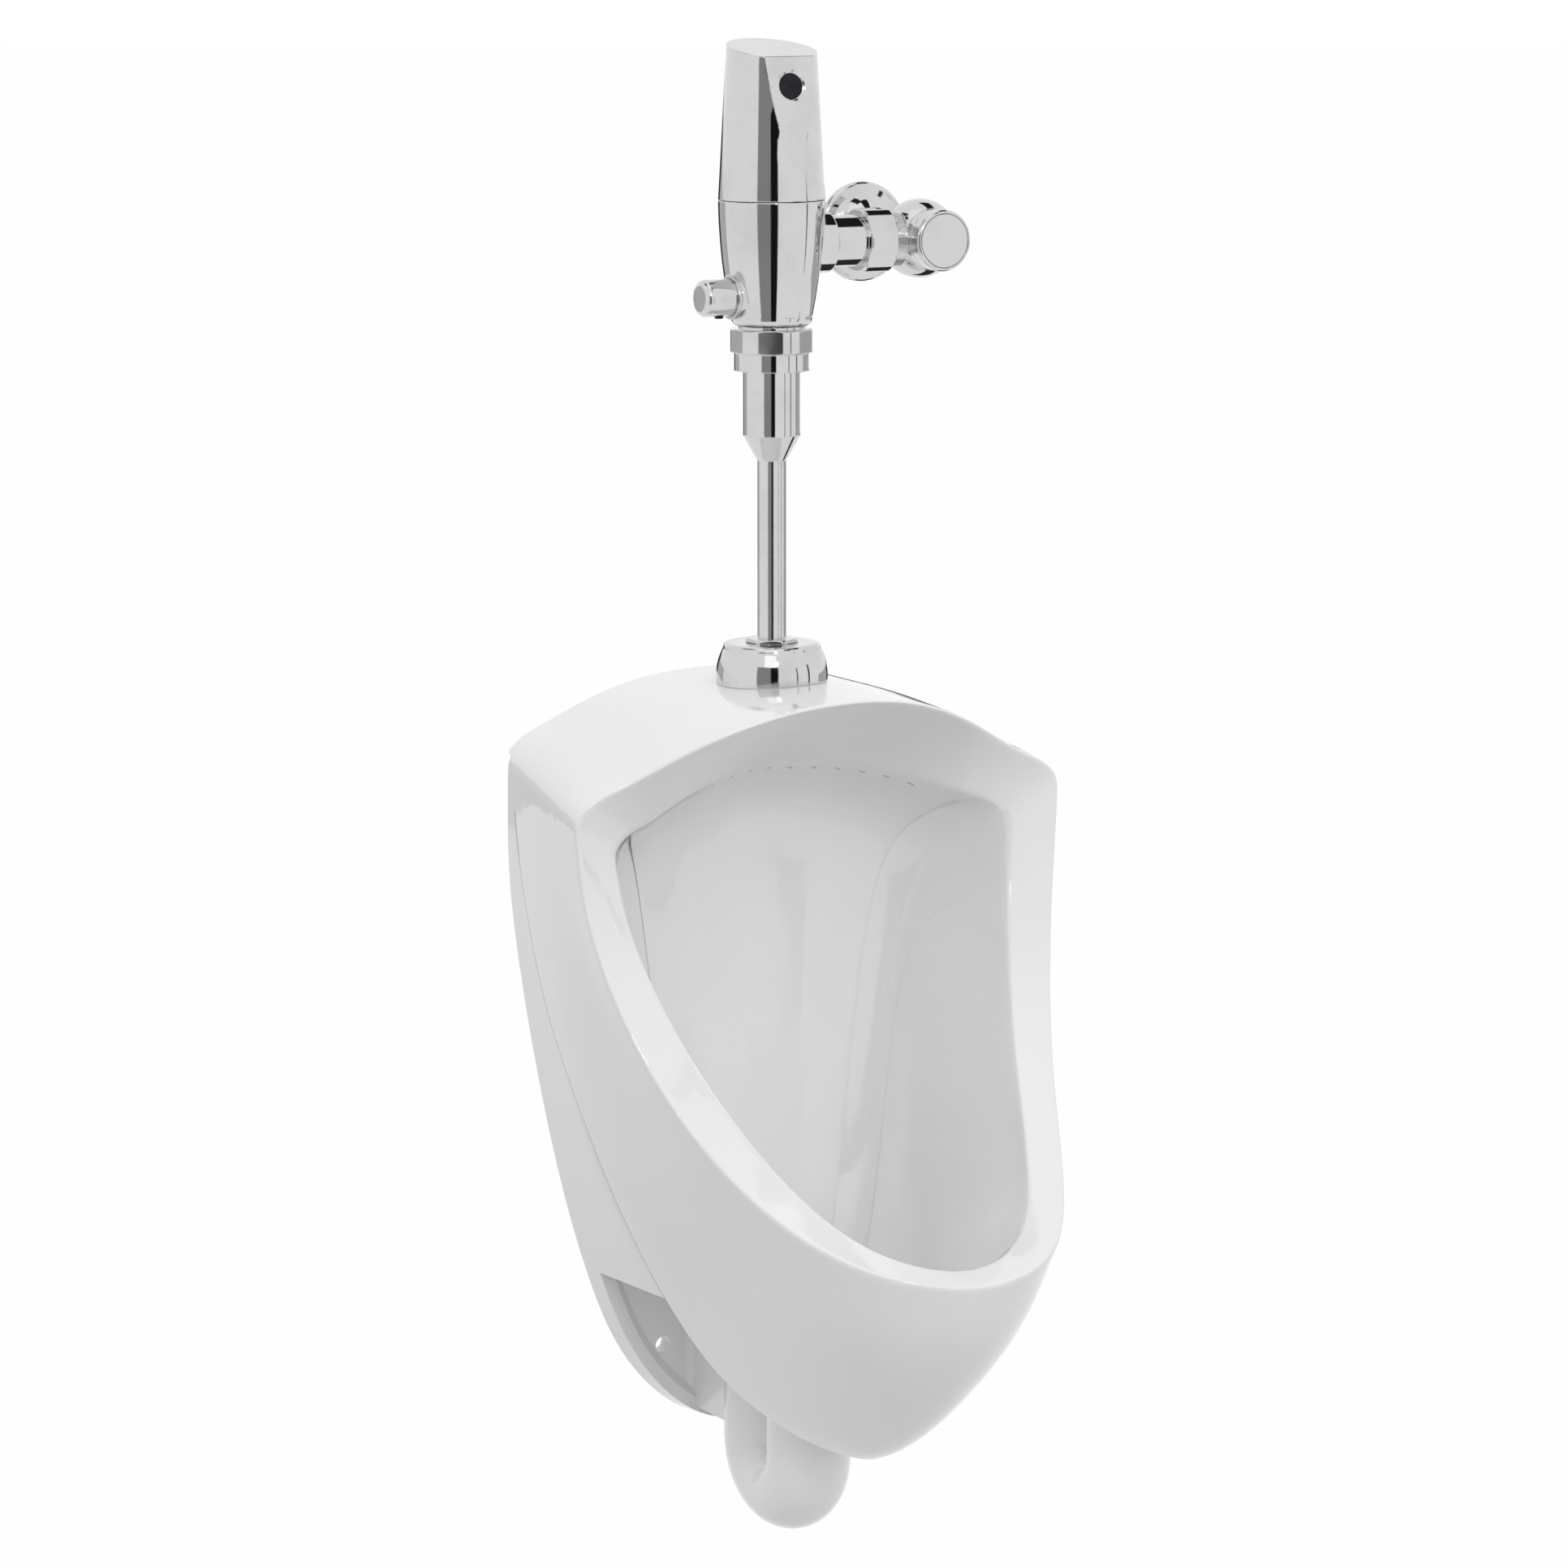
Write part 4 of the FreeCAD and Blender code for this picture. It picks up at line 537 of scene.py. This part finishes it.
blackened_steel()
NECK_SCREW_X = 0.0972
NECK_SCREW_AHEAD = 0.0207
NECK_SCREW_R = 0.0021
NECK_SCREW_PROUD = 0.0006
head = Vector((NECK_SCREW_X, neck_axis.y - NECK_SCREW_AHEAD, neck_axis.z))
screw = socket_screw("neck_screw", head, Vector((0, -1, 0)), NECK_SCREW_R, NECK_SCREW_PROUD)
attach(screw, "fixture")

BUTTON_SCREW_X = -0.0398
BUTTON_SCREW_DROP = 0.0121
BUTTON_SCREW_R = 0.0030
BUTTON_SCREW_PROUD = 0.0016
low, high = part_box("override_button")
head = Vector((BUTTON_SCREW_X, (low.y + high.y) / 2, (low.z + high.z) / 2 - BUTTON_SCREW_DROP))
screw = socket_screw("button_screw", head, Vector((0, 0, -1)), BUTTON_SCREW_R, BUTTON_SCREW_PROUD)
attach(screw, "button")


# Camera: it stands to the left of the front and a little above, as the photograph's did, with a long lens.
# A point at the china's top is kept on its pixel of the photograph.

VIEW_TURN = math.radians(-29.0)
VIEW_RISE = math.radians(9.5)
VIEW_DISTANCE = 3.6515
VIEW_END = 50.0
PICTURE = 1932
FOCAL_PIXELS = 6700
ANCHOR_PIXEL = (951, 841)
ANCHOR = Vector((0, -0.080, 0.468))
SENSOR_MM = 36.0
back = Vector((math.sin(VIEW_TURN) * math.cos(VIEW_RISE), -math.cos(VIEW_TURN) * math.cos(VIEW_RISE),
               math.sin(VIEW_RISE)))
right = Vector((math.cos(VIEW_TURN), math.sin(VIEW_TURN), 0))
up = back.cross(right)
across, down = [(pixel - PICTURE / 2) / FOCAL_PIXELS * VIEW_DISTANCE for pixel in ANCHOR_PIXEL]
bpy.ops.object.camera_add(location=ANCHOR + back * VIEW_DISTANCE - right * across + up * down)
camera = bpy.context.object
camera.rotation_euler = back.to_track_quat("Z", "Y").to_euler()
camera.data.sensor_width = SENSOR_MM
camera.data.lens = FOCAL_PIXELS / PICTURE * SENSOR_MM
camera.data.clip_end = VIEW_END
bpy.context.scene.camera = camera


# Floor and surround: a pale floor well below the object and white all round it, as in a studio.
# The camera and mirror-like pieces see them as white, and as light on the object they are dimmer.

FLOOR_DROP = 0.55
FLOOR_SIZE = 120.0
FLOOR_GREY = (0.48, 0.48, 0.48, 1)
FLOOR_GLOW = 0.985
SURROUND = 0.92
WHITE = (1, 1, 1, 1)


def seen(start):
    """1 for rays that show the background: from the camera, or off or through a piece."""
    path = start.node("LightPath", {})
    camera_ray, glossy_ray, through_ray = [
        Socket(start.tree, path.socket.node.outputs[name])
        for name in ("Is Camera Ray", "Is Glossy Ray", "Is Transmission Ray")]
    return start.maths("MAXIMUM", start.maths("MAXIMUM", camera_ray, glossy_ray), through_ray)


bpy.ops.mesh.primitive_plane_add(size=FLOOR_SIZE, location=(0, 0, -FLOOR_DROP))
floor = bpy.context.object
floor.name = "floor"
material, start, shader, place = new_finish("pale_floor")
start.fill(shader, {"Base Color": FLOOR_GREY, "Roughness": 0.9})
glow = start.node("Emission", {"Color": WHITE, "Strength": 1.0})
lit = Socket(start.tree, shader.outputs[0])
mixed = start.node("MixShader", {0: seen(start) * FLOOR_GLOW, 1: lit, 2: glow})
start.fill(material.node_tree.nodes["Material Output"], {"Surface": mixed})
floor.data.materials.append(material)

world = bpy.data.worlds.new("white_surround")
bpy.context.scene.world = world
world.use_nodes = True
start = Socket(world.node_tree)
sky = world.node_tree.nodes["Background"]
start.fill(sky, {"Color": WHITE, "Strength": seen(start) * (1 - SURROUND) + SURROUND})


# Cards: flat dark and grey boards, upright round the object and level above and beside it.
# Only mirror-like pieces show them, and they give the chrome its dark bands and outlines.

CARD_FOOT = -0.54
CARD_NEAR = 2.2
CARD_FAR = 5.5
CARD_HIGH = 2.6
CARD_LOW = 0.30


def card(name, corners, shade):
    """Board with four corners that neither the camera nor the light on the object sees."""
    bpy.ops.mesh.primitive_plane_add(size=1)
    made = bpy.context.object
    made.name = name
    for point, corner in zip(made.data.vertices, corners):
        point.co = corner
    material, start, shader, place = new_finish(name)
    glow = start.node("Emission", {"Color": (shade, shade, shade, 1), "Strength": 1.0})
    start.fill(material.node_tree.nodes["Material Output"], {"Surface": glow})
    made.data.materials.append(material)
    made.visible_camera = False
    made.visible_diffuse = False
    made.visible_shadow = False
    made.visible_transmission = False


# Upright cards stand between two bearings, in degrees to the right of the front.
for name, first, last, distance, top, shade in (
        ("black_card", -30.0, -14.5, CARD_NEAR, 1.30, 0.01),
        ("grey_card", -58.0, -30.0, CARD_NEAR, 1.30, 0.30),
        ("thin_card_near", 23.0, 25.5, CARD_NEAR, 1.10, 0.03),
        ("thin_card_far", 50.0, 54.0, CARD_NEAR, 1.10, 0.03),
        ("right_card", 82.0, 124.0, CARD_FAR, 0.30, 0.50),
        ("rear_card", 124.0, 151.0, CARD_FAR, 0.08, 0.04),
        ("far_card", 151.0, 180.0, CARD_FAR, 0.72, 0.04),
        ("left_card", 180.0, 212.0, CARD_FAR, 0.72, 0.55)):
    ends = [Vector((math.sin(math.radians(turn)), -math.cos(math.radians(turn)), 0)) * distance
            for turn in (first, last)]
    card(name, [end + Vector((0, 0, height)) for height in (CARD_FOOT, top) for end in ends], shade)

# Level cards reach from side to side and from front to back.
for name, sides, reach, height, shade in (
        ("overhead_card", (0.75, 1.45), (-0.9, 1.2), CARD_HIGH, 0.015),
        ("button_card", (-1.5, -0.7), (0.2, 1.3), CARD_HIGH, 0.03),
        ("front_card", (0.35, 0.85), (-2.0, -0.6), CARD_HIGH, 0.02),
        ("low_card", (0.26, 0.52), (-0.10, 0.36), CARD_LOW, 0.03)):
    card(name, [Vector((x, y, height)) for y in reach for x in sides], shade)


# Lamps: soft square lamps at a plain level, from the left, from above and from the front.
# The small one leaves a glint on the chrome, and the one at the front isn't mirrored at all.

LAMP_TARGET = Vector((0, -0.15, 0.35))


def lamp(name, place, size, power, mirrored=True):
    """Square lamp aimed at the object's middle, seen in mirror-like pieces or not."""
    bpy.ops.object.light_add(type="AREA", location=place)
    light = bpy.context.object
    light.name = name
    light.data.size = size
    light.data.energy = power
    light.visible_glossy = mirrored
    light.rotation_euler = (Vector(place) - LAMP_TARGET).to_track_quat("Z", "Y").to_euler()


lamp("key_lamp", (-1.6, -2.6, 2.4), size=1.4, power=3)
lamp("glint_lamp", (-0.9, -2.8, 2.0), size=0.3, power=7)
lamp("top_lamp", (-0.3, -0.6, 3.3), size=2.0, power=2)
lamp("front_lamp", (0.5, -3.0, 1.3), size=1.6, power=9, mirrored=False)

bpy.context.scene.view_settings.view_transform = "Standard"
